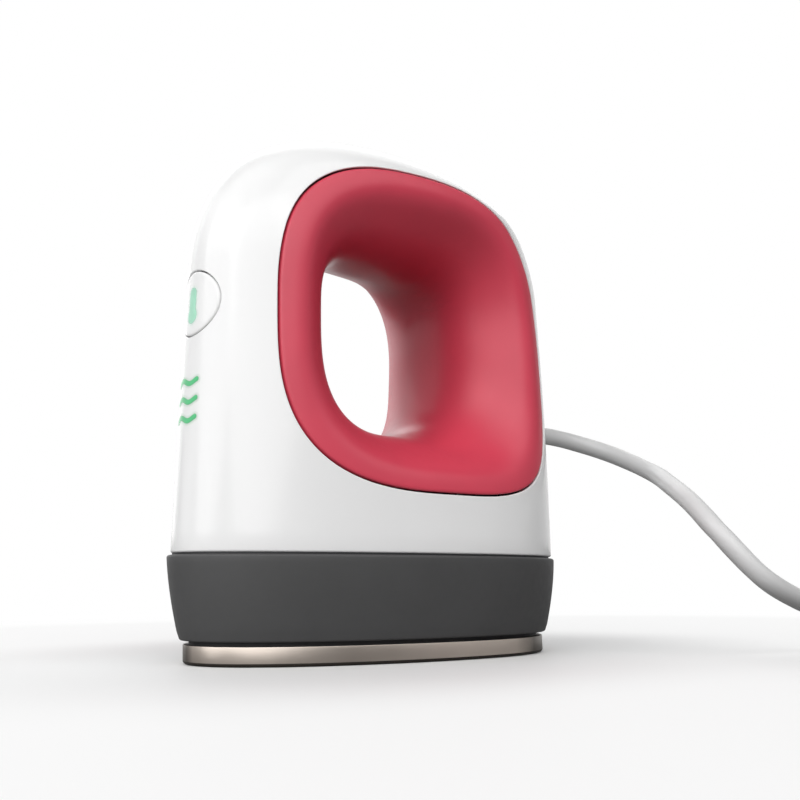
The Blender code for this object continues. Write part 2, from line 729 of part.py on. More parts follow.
def make_heat_plate():
    """The sole plate: rounded lower edge, a step and four bored bosses on its hidden top."""
    radius = PLATE_EDGE_RADIUS
    turns = [math.pi / 2 * i / 3 for i in range(4)]
    stations = [
        (PLATE_INSET + radius * (1 - math.sin(turn)), radius * (1 - math.cos(turn))) for turn in turns
    ]
    stations += [
        (PLATE_INSET, PLATE_THICKNESS),
        (PLATE_STEP_INSET, PLATE_THICKNESS),
        (PLATE_STEP_INSET, STEP_TOP_Z),
    ]
    plate = plan_body("heat_plate", stations, "rose_plate")
    boss_top = SHIELD_Z - SEAT_GAP
    for index, (x, y) in enumerate(plate_screw_places()):
        join(plate, cylinder(
            f"plate_boss_{index}", PLATE_BOSS_RADIUS, (x, y, PLATE_THICKNESS), (x, y, boss_top), sides=16,
        ))
        cut(plate, cylinder(
            f"plate_bore_{index}", SCREW_RADIUS + SCREW_HOLE_CLEARANCE,
            (x, y, boss_top - PLATE_BORE_DEPTH), (x, y, boss_top + CUT_OVERRUN), sides=12,
        ))
    return plate


def base_place(shares):
    """A place on the base from its shares of the half width and the half length."""
    return shares[0] * BASE_WIDTH / 2, shares[1] * BASE_LENGTH / 2


def mirrored_places(*places):
    """Each place and its mirror image across the middle plane."""
    return [(side * x, y) for x, y in places for side in (-1, 1)]


def plate_screw_places():
    return mirrored_places(base_place(PLATE_SCREW_FRONT_SHARES), base_place(PLATE_SCREW_REAR_SHARES))


def board_screw_places():
    return mirrored_places(base_place(BOARD_SCREW_FRONT_SHARES), base_place(BOARD_SCREW_REAR_SHARES))


def cut_wire_holes(item, low, high):
    """Two holes where the heater's wires rise."""
    for side in (-1, 1):
        x = side * HEATER_SPREAD
        cut(item, cylinder(
            f"{item.name}_wire_hole_{side}", WIRE_HOLE_RADIUS,
            (x, WIRE_RISE_Y, low - CUT_OVERRUN), (x, WIRE_RISE_Y, high + CUT_OVERRUN), sides=12,
        ))


def make_heater_stack():
    """The U-shaped heater on the plate, the insulating pad and the metal shield above it."""
    bend = HEATER_SPREAD
    turns = [math.pi * i / 8 for i in range(9)]
    loop = [
        (-bend * math.cos(turn), HEATER_FRONT_Y + bend - bend * math.sin(turn), HEATER_Z) for turn in turns
    ]
    path = [(-bend, HEATER_REAR_Y, HEATER_Z)] + loop + [(bend, HEATER_REAR_Y, HEATER_Z)]
    tube("heating_element", path, HEATER_RADIUS, "steel", resolution=3)
    outline = [(x, y) for x, y, z in plan_ring(STACK_INSET, PAD_Z, inner=True)]
    pad = flat("insulation_pad", outline, PAD_THICKNESS, "mica_pad")
    pad.location = (0, 0, PAD_Z + PAD_THICKNESS / 2)
    shield = flat("heat_shield", outline, SHIELD_THICKNESS, "steel")
    shield.location = (0, 0, SHIELD_Z + SHIELD_THICKNESS / 2)
    for index, (x, y) in enumerate(plate_screw_places()):
        cut(pad, cylinder(
            f"pad_hole_{index}", PLATE_BOSS_RADIUS + SEAT_GAP,
            (x, y, PAD_Z - CUT_OVERRUN), (x, y, PAD_Z + PAD_THICKNESS + CUT_OVERRUN), sides=16,
        ))
        cut(shield, cylinder(
            f"shield_hole_{index}", SCREW_RADIUS + SCREW_HOLE_CLEARANCE,
            (x, y, SHIELD_Z - CUT_OVERRUN), (x, y, SHIELD_Z + SHIELD_THICKNESS + CUT_OVERRUN), sides=12,
        ))
    cut_wire_holes(pad, PAD_Z, PAD_Z + PAD_THICKNESS)
    cut_wire_holes(shield, SHIELD_Z, SHIELD_Z + SHIELD_THICKNESS)
    for name, radius, length, place_share, material in (
        ("plate_thermistor", SENSOR_RADIUS, SENSOR_LENGTH, SENSOR_PLACE_SHARE, "component_black"),
        ("thermal_fuse", THERMAL_FUSE_RADIUS, THERMAL_FUSE_LENGTH, THERMAL_FUSE_PLACE_SHARE, "steel"),
    ):
        y = place_share * BASE_LENGTH / 2
        z = STEP_TOP_Z + SEAT_GAP + radius
        cylinder(name, radius, (0, y - length / 2, z), (0, y + length / 2, z), material, sides=14)


def make_base_frame():
    """The black tray: spigot into the shell, foot under the skirt's flange, bosses and board slot."""
    foot = skirt_inset(FRAME_UNDER_Z) + SKIRT_WALL + SEAT_GAP
    stations = [
        (foot, FRAME_UNDER_Z),
        (foot, FRAME_FLOOR_Z),
        (FRAME_INSET, FRAME_FLOOR_Z),
        (FRAME_INSET, SPIGOT_TOP_Z),
        (FRAME_INSET + FRAME_WALL, SPIGOT_TOP_Z),
        (FRAME_INSET + FRAME_WALL, FRAME_FLOOR_Z),
    ]
    frame = plan_body("base_frame", stations, "black_frame")
    pad_bottom = SHIELD_Z + SHIELD_THICKNESS + SEAT_GAP
    mid_floor = FRAME_FLOOR_Z - FRAME_FLOOR / 2
    for index, (x, y) in enumerate(plate_screw_places()):
        join(frame, cylinder(
            f"frame_pad_{index}", SCREW_HEAD_RADIUS, (x, y, pad_bottom), (x, y, mid_floor), sides=16,
        ))
        cut(frame, cylinder(
            f"frame_hole_{index}", SCREW_RADIUS + SCREW_HOLE_CLEARANCE,
            (x, y, pad_bottom - CUT_OVERRUN), (x, y, FRAME_FLOOR_Z + CUT_OVERRUN), sides=12,
        ))
    for index, (x, y) in enumerate(board_screw_places()):
        top = BOARD_Z - SEAT_GAP
        join(frame, cylinder(
            f"board_boss_{index}", BOARD_BOSS_RADIUS, (x, y, mid_floor), (x, y, top), sides=14,
        ))
        cut(frame, cylinder(
            f"board_bore_{index}", BOARD_SCREW_RADIUS + SCREW_HOLE_CLEARANCE,
            (x, y, top - BOARD_SCREW_LENGTH), (x, y, top + CUT_OVERRUN), sides=12,
        ))
    for index, side in enumerate((-1, 1)):
        y = NOSE_BOARD_Y + side * (BOARD_THICKNESS + RIB_THICKNESS + 2 * SEAT_GAP) / 2
        height = RIB_HEIGHT + FRAME_FLOOR / 2
        join(frame, box(
            f"slot_rib_{index}", (NOSE_BOARD_WIDTH, RIB_THICKNESS, height), (0, y, mid_floor + height / 2),
        ))
    cut_wire_holes(frame, FRAME_UNDER_Z, FRAME_FLOOR_Z)
    return frame


def make_screws():
    """Pan head screws: four hold the plate under the frame, four hold the main board."""
    head_z = FRAME_FLOOR_Z + SEAT_GAP
    shank = head_z - (SHIELD_Z - PLATE_BORE_DEPTH)
    for index, (x, y) in enumerate(plate_screw_places(), 1):
        screw(
            f"plate_screw_{index}", (x, y, head_z), SCREW_RADIUS, shank,
            SCREW_HEAD_RADIUS, SCREW_HEAD_HEIGHT,
        )
    head_z = BOARD_TOP_Z + SEAT_GAP
    shank = head_z - (BOARD_Z - BOARD_SCREW_LENGTH)
    for index, (x, y) in enumerate(board_screw_places(), 1):
        screw(
            f"board_screw_{index}", (x, y, head_z), BOARD_SCREW_RADIUS, shank,
            BOARD_SCREW_HEAD_RADIUS, BOARD_SCREW_HEAD_HEIGHT,
        )


def screw(name, place, radius, shank, head_radius, head_height):
    """A turned screw standing on its head's underside, with a chamfered head and point."""
    chamfer = head_height / 3
    profile = [
        (0, head_height), (head_radius - chamfer, head_height), (head_radius, head_height - chamfer),
        (head_radius, 0), (radius, 0), (radius, radius / 2 - shank), (radius / 2, -shank), (0, -shank),
    ]
    item = turned(name, profile, "steel", sides=12)
    item.location = place
    return item


def make_main_board():
    """The power board on the frame's bosses, with its larger components."""
    front, rear = (share * BASE_LENGTH / 2 for share in BOARD_LENGTH_SHARES)
    half_width = BOARD_WIDTH_SHARE * BASE_WIDTH / 2
    outline = plan_outline(front, rear, half_width, INNER_NOSE_POINTS, INNER_TAIL_POINTS)
    board = flat("main_board", outline, BOARD_THICKNESS, "board_green")
    board.location = (0, 0, BOARD_Z + BOARD_THICKNESS / 2)
    for index, (x, y) in enumerate(board_screw_places()):
        cut(board, cylinder(
            f"board_hole_{index}", BOARD_SCREW_RADIUS + SCREW_HOLE_CLEARANCE,
            (x, y, BOARD_Z - CUT_OVERRUN), (x, y, BOARD_TOP_Z + CUT_OVERRUN), sides=12,
        ))
    for name, size, place, material in (
        ("transformer", TRANSFORMER_SIZE, base_place(TRANSFORMER_PLACE_SHARES), "component_yellow"),
        ("heater_relay", RELAY_SIZE, base_place(RELAY_PLACE_SHARES), "component_black"),
        ("terminal_block", TERMINAL_SIZE, (0, TERMINAL_Y), "terminal_blue"),
    ):
        box(name, size, (*place, COMPONENT_Z + size[2] / 2), material, edge=COMPONENT_EDGE)
    for name, radius, height, shares in (
        ("filter_capacitor", CAPACITOR_RADIUS, CAPACITOR_HEIGHT, CAPACITOR_PLACE_SHARES),
        ("buzzer", BUZZER_RADIUS, BUZZER_HEIGHT, BUZZER_PLACE_SHARES),
    ):
        x, y = base_place(shares)
        foot, head = (x, y, COMPONENT_Z), (x, y, COMPONENT_Z + height)
        cylinder(name, radius, foot, head, "component_black", sides=18)


def make_wires():
    """The heater's two wires rise behind the board and bend down into the terminal block."""
    over = COMPONENT_Z + TERMINAL_SIZE[2]
    entry_y = TERMINAL_Y + TERMINAL_SIZE[1] / 4
    crest = WIRE_RADIUS * 6
    reach = (WIRE_RISE_Y - entry_y) / 2
    for side, name in ((1, "heater_wire_right"), (-1, "heater_wire_left")):
        x = side * HEATER_SPREAD
        points = [
            (x, HEATER_REAR_Y + SEAT_GAP, HEATER_Z),
            (x, WIRE_RISE_Y - WIRE_RADIUS * 2, HEATER_Z),
            (x, WIRE_RISE_Y, HEATER_Z + WIRE_RADIUS * 2),
        ]
        for step in range(9):
            turn = math.pi * step / 8
            y = entry_y + reach * (1 + math.cos(turn))
            points.append((x, y, over + SEAT_GAP + crest * math.sin(turn)))
        tube(name, points, WIRE_RADIUS, "component_black", resolution=1)


def smooth_points(places, steps):
    """Points on a smooth curve through hand-chosen places."""
    places = [Vector(place) for place in places]
    ends = [places[0] * 2 - places[1]] + places + [places[-1] * 2 - places[-2]]
    points = []
    for p0, p1, p2, p3 in zip(ends, ends[1:], ends[2:], ends[3:]):
        for step in range(steps):
            t = step / steps
            points.append(
                (p1 * 2 + (p2 - p0) * t + (p0 * 2 - p1 * 5 + p2 * 4 - p3) * t ** 2
                 + (p1 * 3 - p0 - p2 * 3 + p3) * t ** 3) / 2
            )
    return points + [places[-1]]


def path_length(points):
    return sum((Vector(b) - Vector(a)).length for a, b in zip(points, points[1:]))


def spaced_points(points, spacing):
    """Read a fine path again at even spacing, keeping both ends."""
    total = path_length(points)
    count = max(2, round(total / spacing))
    result, travelled, index = [points[0]], 0.0, 0
    for step in range(1, count):
        target = total * step / count
        while travelled + (points[index + 1] - points[index]).length < target:
            travelled += (points[index + 1] - points[index]).length
            index += 1
        piece = points[index + 1] - points[index]
        result.append(points[index] + piece * ((target - travelled) / piece.length))
    return result + [points[-1]]


def make_strain_relief():
    """Snap-in gland: inner flange, neck through the wall, collar and a tapered boot."""
    inner_face = relief_inner_face()
    flange_back = inner_face - RELIEF_FLANGE_THICKNESS
    collar_face = SEAT_GAP + RELIEF_COLLAR_THICKNESS
    profile = [
        (0, RELIEF_LENGTH),
        (RELIEF_TIP_RADIUS, RELIEF_LENGTH),
        (RELIEF_ROOT_RADIUS, collar_face),
        (RELIEF_COLLAR_RADIUS, collar_face),
        (RELIEF_COLLAR_RADIUS, SEAT_GAP),
        (RELIEF_NECK_RADIUS, SEAT_GAP),
        (RELIEF_NECK_RADIUS, inner_face),
        (RELIEF_FLANGE_RADIUS, inner_face),
        (RELIEF_FLANGE_RADIUS, flange_back),
        (LEAD_RADIUS, inner_face - RELIEF_INNER_LENGTH),
        (0, inner_face - RELIEF_INNER_LENGTH),
    ]
    relief = turned("strain_relief", profile, "white_cord", sides=20)
    relief.location = (0, rear_face_y(), EXIT_Z)
    relief.rotation_euler = (-math.pi / 2, 0, 0)
    return relief


def make_mains_lead():
    """Inside the housing the cord runs on from the gland and bends down into the terminal block."""
    over = COMPONENT_Z + TERMINAL_SIZE[2] + SEAT_GAP
    entry_y = TERMINAL_Y - TERMINAL_SIZE[1] / 4
    start_y = rear_face_y() + relief_inner_face() - RELIEF_INNER_LENGTH - SEAT_GAP
    bend = (EXIT_Z - over) / 2
    route = [
        (0, start_y, EXIT_Z),
        (0, start_y - LEAD_RADIUS, EXIT_Z),
        (0, start_y - 2 * LEAD_RADIUS, EXIT_Z),
        (0, (start_y + entry_y) / 2 - LEAD_RADIUS, EXIT_Z - bend / 2),
        (0, entry_y, over + bend),
        (0, entry_y, over + 2 * LEAD_RADIUS),
        (0, entry_y, over + LEAD_RADIUS),
        (0, entry_y, over),
    ]
    tube("mains_lead", smooth_points(route, 3), LEAD_RADIUS, "white_cord")


def cord_route():
    """The free stretch: from the strain relief's tip to the coil, read from a smooth curve."""
    rear = rear_face_y()
    start = Vector((0, rear + RELIEF_LENGTH + SEAT_GAP, EXIT_Z))
    end = coil_start() - Vector((SEAT_GAP, 0, 0))
    lead_in = end - Vector((CORD_DIAMETER, 0, 0))
    places = [start] + [Vector(place) for place in CORD_ROUTE] + [lead_in, end]
    fine = smooth_points(places, 8)
    return spaced_points(fine, CORD_DIAMETER * CORD_STEP_DIAMETERS)


def coil_start():
    """The coil's tube starts with one straight diameter before its first turn."""
    return Vector((COIL_CENTRE_X - CORD_DIAMETER, COIL_TOP_Y, COIL_FLOOR_Z))


def coil_points():
    """One unbroken tube that spirals in and out in layers, then climbs to the plug on top."""
    top = Vector((0, 0, COIL_FLOOR_Z + COIL_PITCH * (COIL_LAYERS - 1)))
    tail = path_length([top] + coil_tail(top))
    wound = CORD_LENGTH - path_length(cord_route()) - tail - CORD_DIAMETER - RELIEF_LENGTH
    turns_per_layer = COIL_TURNS / COIL_LAYERS
    mid_radius = wound / (2 * math.pi * COIL_TURNS)
    spread = COIL_PITCH * turns_per_layer
    outer = mid_radius + spread / 2
    centre = Vector((COIL_CENTRE_X, COIL_TOP_Y - outer, 0))
    points = [coil_start()]
    count = round(COIL_TURNS * COIL_POINTS_PER_TURN)
    for step in range(count + 1):
        turn = step / COIL_POINTS_PER_TURN
        phase = turn / turns_per_layer
        layer = min(COIL_LAYERS - 1, int(phase))
        share = phase - layer
        draw = share if layer % 2 == 0 else 1 - share
        radius = outer - spread * draw
        angle = math.pi / 2 - 2 * math.pi * turn
        z = COIL_FLOOR_Z + COIL_PITCH * layer_height(turn, turns_per_layer)
        points.append(centre + Vector((radius * math.cos(angle), radius * math.sin(angle), z)))
    return points + coil_tail(points[-1]), centre, outer, spread


def coil_tail(start):
    """From the last turn the cord bends inwards and climbs, and ends one straight diameter on."""
    climb = plug_axis_z() - start.z
    points = []
    for step in range(1, TAIL_BEND_STEPS + 1):
        share = step / TAIL_BEND_STEPS
        angle = math.pi / 2 * share
        rise = climb * (1 - math.cos(math.pi * share)) / 2
        points.append(start + Vector((
            TAIL_BEND_RADIUS * math.sin(angle), TAIL_BEND_RADIUS * (math.cos(angle) - 1), rise,
        )))
    points.append(points[-1] - Vector((0, CORD_DIAMETER, 0)))
    return points


def layer_height(turn, turns_per_layer):
    """The layer, with each climb spread over the half turn where the spiral reverses."""
    height = 0.0
    for change in range(1, COIL_LAYERS):
        share = min(1.0, max(0.0, (turn - change * turns_per_layer) * 2 + 1 / 2))
        height += share * share * (3 - 2 * share)
    return height


def plug_axis_z():
    """The plug lies flat on the coil's top layer."""
    coil_top = COIL_FLOOR_Z + COIL_PITCH * (COIL_LAYERS - 1) + CORD_RADIUS
    return coil_top + SEAT_GAP + PLUG_HEIGHT / 2


def least_gap(points, skip):
    """The smallest distance between tube faces of points that aren't neighbours along the tube."""
    fine = spaced_points(points, CORD_RADIUS)
    gap = CORD_LENGTH
    for i in range(0, len(fine)):
        for j in range(i + skip, len(fine)):
            gap = min(gap, (fine[i] - fine[j]).length - CORD_DIAMETER)
    return gap


def make_cord():
    route = cord_route()
    tube("power_cord", route, CORD_RADIUS, "white_cord")
    points, centre, outer, spread = coil_points()
    tube("cord_coil", points, CORD_RADIUS, "white_cord", resolution=1)
    total = path_length(route) + path_length(points) + RELIEF_LENGTH
    print("cord length from the housing", round(total, 4), "free stretch", round(path_length(route), 4))
    print("coil mid-turn diameter over cord diameter", round((outer * 2 - spread) / CORD_DIAMETER, 2))
    print("least gap of the coil to itself", round(least_gap(points, 16), 5))
    make_coil_tie(centre, outer, spread)
    make_plug(points[-1])


def make_coil_tie(centre, outer, spread):
    """A flat strap round all the turns at one place."""
    inner = outer - spread - CORD_RADIUS - SEAT_GAP * 2
    outside = outer + CORD_RADIUS + SEAT_GAP * 2
    low = COIL_FLOOR_Z - CORD_RADIUS - SEAT_GAP
    high = COIL_FLOOR_Z + COIL_PITCH * (COIL_LAYERS - 1) + CORD_RADIUS + SEAT_GAP
    out = Vector((math.cos(TIE_ANGLE), math.sin(TIE_ANGLE), 0))
    along = Vector((-out.y, out.x, 0))
    loops = []
    for grow in (0.0, TIE_THICKNESS):
        corners = [
            (inner - grow, low - grow), (outside + grow, low - grow),
            (outside + grow, high + grow), (inner - grow, high + grow),
        ]
        for side in (-1, 1) if grow == 0.0 else (1, -1):
            loops.append([
                centre + out * r + along * (side * TIE_WIDTH / 2) + Vector((0, 0, z)) for r, z in corners
            ])
    tie = add_object("coil_tie", mesh_from("coil_tie", loops, wrap=True), "tie_black")
    return tie


def make_plug(cord_end):
    """A two-blade plug lying on the coil, its collar facing the cord."""
    x, y, z = cord_end
    collar_start = y - SEAT_GAP
    body_back = collar_start - PLUG_COLLAR_LENGTH
    body_front = body_back - PLUG_LENGTH
    back_half, front_half = PLUG_WIDTH / 2 * PLUG_BACK_SHARE, PLUG_WIDTH / 2
    half_height = PLUG_HEIGHT / 2
    rings = []
    middle = body_back - PLUG_LENGTH / 2
    for place, half in ((body_back, back_half), (middle, front_half), (body_front, front_half)):
        rings.append([
            (x + sx * half, place, z + sz * half_height) for sx, sz in ((-1, -1), (1, -1), (1, 1), (-1, 1))
        ])
    body = add_object("plug_body", mesh_from("plug_body", rings), "white_cord")
    edges = body.modifiers.new("edges", "BEVEL")
    edges.width = PLUG_EDGE_RADIUS
    edges.segments = 3
    edges.limit_method = "ANGLE"
    join(body, cylinder(
        "plug_collar", PLUG_COLLAR_RADIUS, (x, body_back - PLUG_EDGE_RADIUS, z), (x, collar_start, z),
        sides=16, tip_radius=PLUG_COLLAR_TIP_RADIUS,
    ))
    smooth(body)
    for side, name in ((1, "plug_blade_right"), (-1, "plug_blade_left")):
        blade_x = x + side * BLADE_SPACING / 2
        slot_size = (
            BLADE_THICKNESS + 2 * SEAT_GAP, 2 * (BLADE_ROOT + SEAT_GAP), BLADE_WIDTH + 2 * SEAT_GAP,
        )
        cut(body, box(name + "_slot", slot_size, (blade_x, body_front, z)))
        box(
            name, (BLADE_THICKNESS, BLADE_LENGTH + BLADE_ROOT, BLADE_WIDTH),
            (blade_x, body_front - (BLADE_LENGTH - BLADE_ROOT) / 2, z), "steel", edge=BLADE_EDGE,
        )


def make_power_button():
    """The flush round cap in the nose. Its face is the shell's own surface; it slides along +Y."""
    face = nose_face_y(BUTTON_Z)
    back = face + BUTTON_DEPTH
    body = add_object("shell_form", mesh_from("shell_form", shell_rings()))
    mesh = bpy.data.meshes.new("power_button")
    work = bmesh.new()
    front = face - CUT_OVERRUN
    depth = back - front
    bmesh.ops.create_cone(
        work, cap_ends=True, segments=32, radius1=BUTTON_RADIUS, radius2=BUTTON_RADIUS, depth=depth,
    )
    bmesh.ops.rotate(work, matrix=Vector((0, 1, 0)).to_track_quat("Z", "Y").to_matrix(), verts=work.verts)
    bmesh.ops.translate(work, vec=(0, front + depth / 2 - face, 0), verts=work.verts)
    work.to_mesh(mesh)
    work.free()
    button = add_object("power_button", mesh, "white_shell")
    button.location = (0, face, BUTTON_Z)
    combine(button, body, "INTERSECT")
    tab_y = tab_front_y() + BUTTON_TAB_THICKNESS / 2
    tab_height = 2 * (BUTTON_RADIUS + BUTTON_TAB_REACH)
    join(button, box(
        "button_tabs", (BUTTON_TAB_WIDTH, BUTTON_TAB_THICKNESS, tab_height), (0, tab_y, BUTTON_Z),
    ))
    stem_end = switch_face_y() - PLUNGER_REACH - SEAT_GAP
    join(button, cylinder(
        "button_stem", BUTTON_STEM_RADIUS,
        (0, back - BUTTON_TAB_THICKNESS, BUTTON_Z), (0, stem_end, BUTTON_Z), sides=16,
    ))
    return smooth(button)


def tab_front_y():
    """The button's tabs sit just behind the shell's inner face at their own width."""
    reach = BUTTON_RADIUS + BUTTON_TAB_REACH
    return max(inner_nose_y(BUTTON_TAB_WIDTH / 2, BUTTON_Z + side * reach) for side in (-1, 1))


def switch_face_y():
    """Front face of the switch, which stands on the nose board."""
    return NOSE_BOARD_Y - BOARD_THICKNESS / 2 - SEAT_GAP - SWITCH_DEPTH


def make_switch():
    """The push switch: a square body with a bore that its plunger slides in."""
    face = switch_face_y()
    body = box(
        "push_switch", (SWITCH_SIZE, SWITCH_DEPTH, SWITCH_SIZE), (0, face + SWITCH_DEPTH / 2, BUTTON_Z),
        "component_black", edge=0.0,
    )
    bore_end = face + PLUNGER_SUNK + BUTTON_TRAVEL + SEAT_GAP
    cut(body, cylinder(
        "switch_bore", PLUNGER_RADIUS + SEAT_GAP,
        (0, face - CUT_OVERRUN, BUTTON_Z), (0, bore_end, BUTTON_Z), sides=16,
    ))
    cylinder(
        "switch_plunger", PLUNGER_RADIUS,
        (0, face - PLUNGER_REACH, BUTTON_Z), (0, face + PLUNGER_SUNK, BUTTON_Z),
        "component_yellow", sides=16,
    )


def light_heights():
    return [LIGHT_TOP_Z - LIGHT_PITCH * i for i in range(LIGHT_COUNT)]


def make_nose_board():
    """The upright board in the nose with the indicator lights and the block that guides their light."""
    low = FRAME_FLOOR_Z + SEAT_GAP
    height = NOSE_BOARD_TOP_Z - low
    box(
        "nose_board", (NOSE_BOARD_WIDTH, BOARD_THICKNESS, height),
        (0, NOSE_BOARD_Y, low + height / 2), "board_green",
    )
    board_front = NOSE_BOARD_Y - BOARD_THICKNESS / 2
    y = board_front - SEAT_GAP - LIGHT_SIZE[1] / 2
    for index, z in enumerate(light_heights(), 1):
        box(f"indicator_light_{index}", LIGHT_SIZE, (0, y, z), "light_green")
    make_light_guide(y - LIGHT_SIZE[1] / 2 - SEAT_GAP)


def make_light_guide(back):
    """A clear block shaped to the nose's inner face, between the wall and the lights."""
    heights = light_heights()
    low, high = heights[-1] - GUIDE_MARGIN, heights[0] + GUIDE_MARGIN
    half = GUIDE_WIDTH / 2
    steps = 6
    rings = []
    for z in (low, high):
        ring = []
        for step in range(steps + 1):
            x = -half + GUIDE_WIDTH * step / steps
            ring.append((x, inner_nose_y(x, z), z))
        ring += [(half, back, z), (-half, back, z)]
        rings.append(ring)
    add_object("light_guide", mesh_from("light_guide", rings), "clear_guide")


def inner_nose_y(x, z):
    """A place a seat's gap behind the shell's inner face, beside the nose's middle line."""
    y = nose_face_y(z) + SHELL_WALL
    while distance_to_wall(x, y, z) < SHELL_WALL + SEAT_GAP:
        y += SEAT_GAP / 4
    return y


def distance_to_wall(x, y, z):
    """How far a place inside the shell lies from its outer face, measured level."""
    outline = plan_outline(*shell_section(section_height(y, z)), nose_points=NOSE_POINTS * 8)
    return min(math.hypot(x - px, y - py) for px, py in outline)


clear_scene()
PRODUCT = make_collection("mini_heat_press")
CONSTRUCTION = make_collection("construction")
make_housing_shell()
make_grip_liners()
make_skirt()
make_heat_plate()
make_heater_stack()
make_base_frame()
make_screws()
make_main_board()
make_wires()
make_power_button()
make_switch()
make_nose_board()
make_strain_relief()
make_mains_lead()
make_cord()
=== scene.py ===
# Mini heat press: the looks of the packed model, piece by piece, and the studio around it.
# Metres, +Z up. The heat plate rests on z = 0 and the nose with the power button faces -Y.

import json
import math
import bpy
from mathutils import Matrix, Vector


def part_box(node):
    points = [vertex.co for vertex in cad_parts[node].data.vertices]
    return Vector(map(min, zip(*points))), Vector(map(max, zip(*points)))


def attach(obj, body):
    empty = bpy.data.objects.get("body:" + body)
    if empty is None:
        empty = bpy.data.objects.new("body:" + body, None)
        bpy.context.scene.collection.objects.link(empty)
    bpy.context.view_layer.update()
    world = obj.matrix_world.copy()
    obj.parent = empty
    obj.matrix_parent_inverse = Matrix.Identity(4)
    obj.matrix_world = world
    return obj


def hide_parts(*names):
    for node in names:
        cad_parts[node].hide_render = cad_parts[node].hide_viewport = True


bl_info = {
    "name": "Mini Heat Press",
    "version": (1, 0, 0),
    "blender": (4, 5, 0),
    "location": "3D View > Sidebar > Heat Press",
    "description": "Dresses the packed mini heat press with its shell, grip, plate, cord and studio",
    "category": "Object",
}

import bmesh
import bpy
import numpy as np
from bpy.props import FloatProperty, FloatVectorProperty, IntProperty, PointerProperty
from mathutils import Vector
from mathutils.bvhtree import BVHTree

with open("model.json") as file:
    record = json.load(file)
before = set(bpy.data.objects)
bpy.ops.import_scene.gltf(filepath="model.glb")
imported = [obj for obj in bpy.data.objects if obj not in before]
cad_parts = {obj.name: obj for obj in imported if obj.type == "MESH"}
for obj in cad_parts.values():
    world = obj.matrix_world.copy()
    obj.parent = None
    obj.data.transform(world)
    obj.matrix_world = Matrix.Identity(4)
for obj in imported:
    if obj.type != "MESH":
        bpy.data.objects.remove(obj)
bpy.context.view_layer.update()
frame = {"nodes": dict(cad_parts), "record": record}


def length(name, description, default):
    return FloatProperty(
        name=name, description=description, default=default, unit="LENGTH", precision=5, step=0.01,
    )


def share(name, description, default):
    return FloatProperty(
        name=name, description=description, default=default, subtype="FACTOR", precision=4,
    )


def power(name, description, default):
    return FloatProperty(name=name, description=description, default=default, min=1.0, precision=3)


def turn(name, description, degrees):
    return FloatProperty(
        name=name, description=description, default=math.radians(degrees), subtype="ANGLE",
    )


def lamp_strength(name, default):
    return FloatProperty(name=name, description="Strength of this soft lamp", default=default)


def colour(name, description, default):
    return FloatVectorProperty(
        name=name, description=description, default=default, size=3, subtype="COLOR",
        min=0.0, max=1.0,
    )


class PressBaseSizes(bpy.types.PropertyGroup):
    """The iron-shaped base: plan, dark band and heat plate."""

    base_length: length("Base length", "Length of the plan at the band's widest line", 0.0884)
    base_width: length("Base width", "Width of the plan at the band's widest line", 0.0546)
    widest_share: share("Widest place", "Where the plan is widest, from the nose", 0.64)
    nose_power: power("Nose power", "How full the plan is towards the nose", 1.64)
    tail_power: power("Tail power", "How square the plan's rear end is", 2.6)
    tail_corner_power: power("Tail corner power", "How square the rear corners are", 2.1)
    rake: share("Rake", "How far the base moves back for each metre that it goes down", 0.044)
    plate_inset: length("Plate inset", "How far the plate lies inside the plan", 0.0031)
    plate_thickness: length("Plate thickness", "Height of the plate's bright side", 0.00345)
    # The plate's rounded lower edge carries painted shade
    plate_edge: length("Plate edge", "Radius of the plate's dark lower edge", 0.0006)
    plate_step: length("Plate step", "How far in the plate's hidden step lies", 0.0070)
    band_foot: length("Band foot", "Height of the band's lower edge", 0.0042)
    band_height: length("Band height", "Height of the dark band", 0.01525)
    band_draw: length("Band draw", "How far the band leans in at its foot", 0.0023)
    band_draw_power: power("Band draw power", "How the band's lean grows towards its foot", 1.6)
    band_wall: length("Band wall", "Thickness of the band", 0.0018)
    band_edge: length("Band edge", "Radius of the band's edges", 0.0005)
    band_flange: length("Band flange", "Thickness of the band's upper flange", 0.00215)


class PressShellSizes(bpy.types.PropertyGroup):
    """The white shell and the places of its holes."""

    foot: length("Foot", "Height of the shell's lower edge in the solids", 0.02005)
    foot_drop: length("Foot drop", "How much lower the edge is drawn", 0.00025)
    height: length("Height", "Height of the shell before its top falls", 0.08325)
    inset: length("Inset", "How far the shell lies inside the plan", 0.0007)
    wall: length("Wall", "Thickness of the shell", 0.0020)
    front_lean: length("Front lean", "How far the nose leans back", 0.0017)
    rear_inset: length("Rear inset", "How far the shell's rear lies inside the plan", 0.0003)
    rear_lean: length("Rear lean", "How far the rear leans forward", 0.0019)
    side_draw: length("Side draw", "How far the sides draw in at the top", 0.0047)
    side_draw_power: power("Side draw power", "How the sides' draw grows", 2.3)
    top_front: length("Top front radius", "Rounding of the top above the nose", 0.0312)
    top_rear: length("Top rear radius", "Rounding of the top above the rear", 0.0242)
    top_side: length("Top side radius", "Rounding of the top above the sides", 0.0107)
    top_fall: length("Top fall", "How far the top falls from its middle to the rear", 0.0062)
    foot_edge: length("Foot edge", "Radius of the shell's lower edge", 0.0004)
    lip: length("Lip", "Radius of the edges round the grip and the button", 0.0003)
    button_height: length("Button height", "Height of the button's centre", 0.0661)
    button_radius: length("Button radius", "Radius of the power button", 0.0062)
    button_joint: length("Button joint", "Gap round the power button", 0.00022)
    button_depth: length("Button depth", "Depth of the button behind its face", 0.0044)
    exit_height: length("Cord exit height", "Height of the cord's exit", 0.0508)


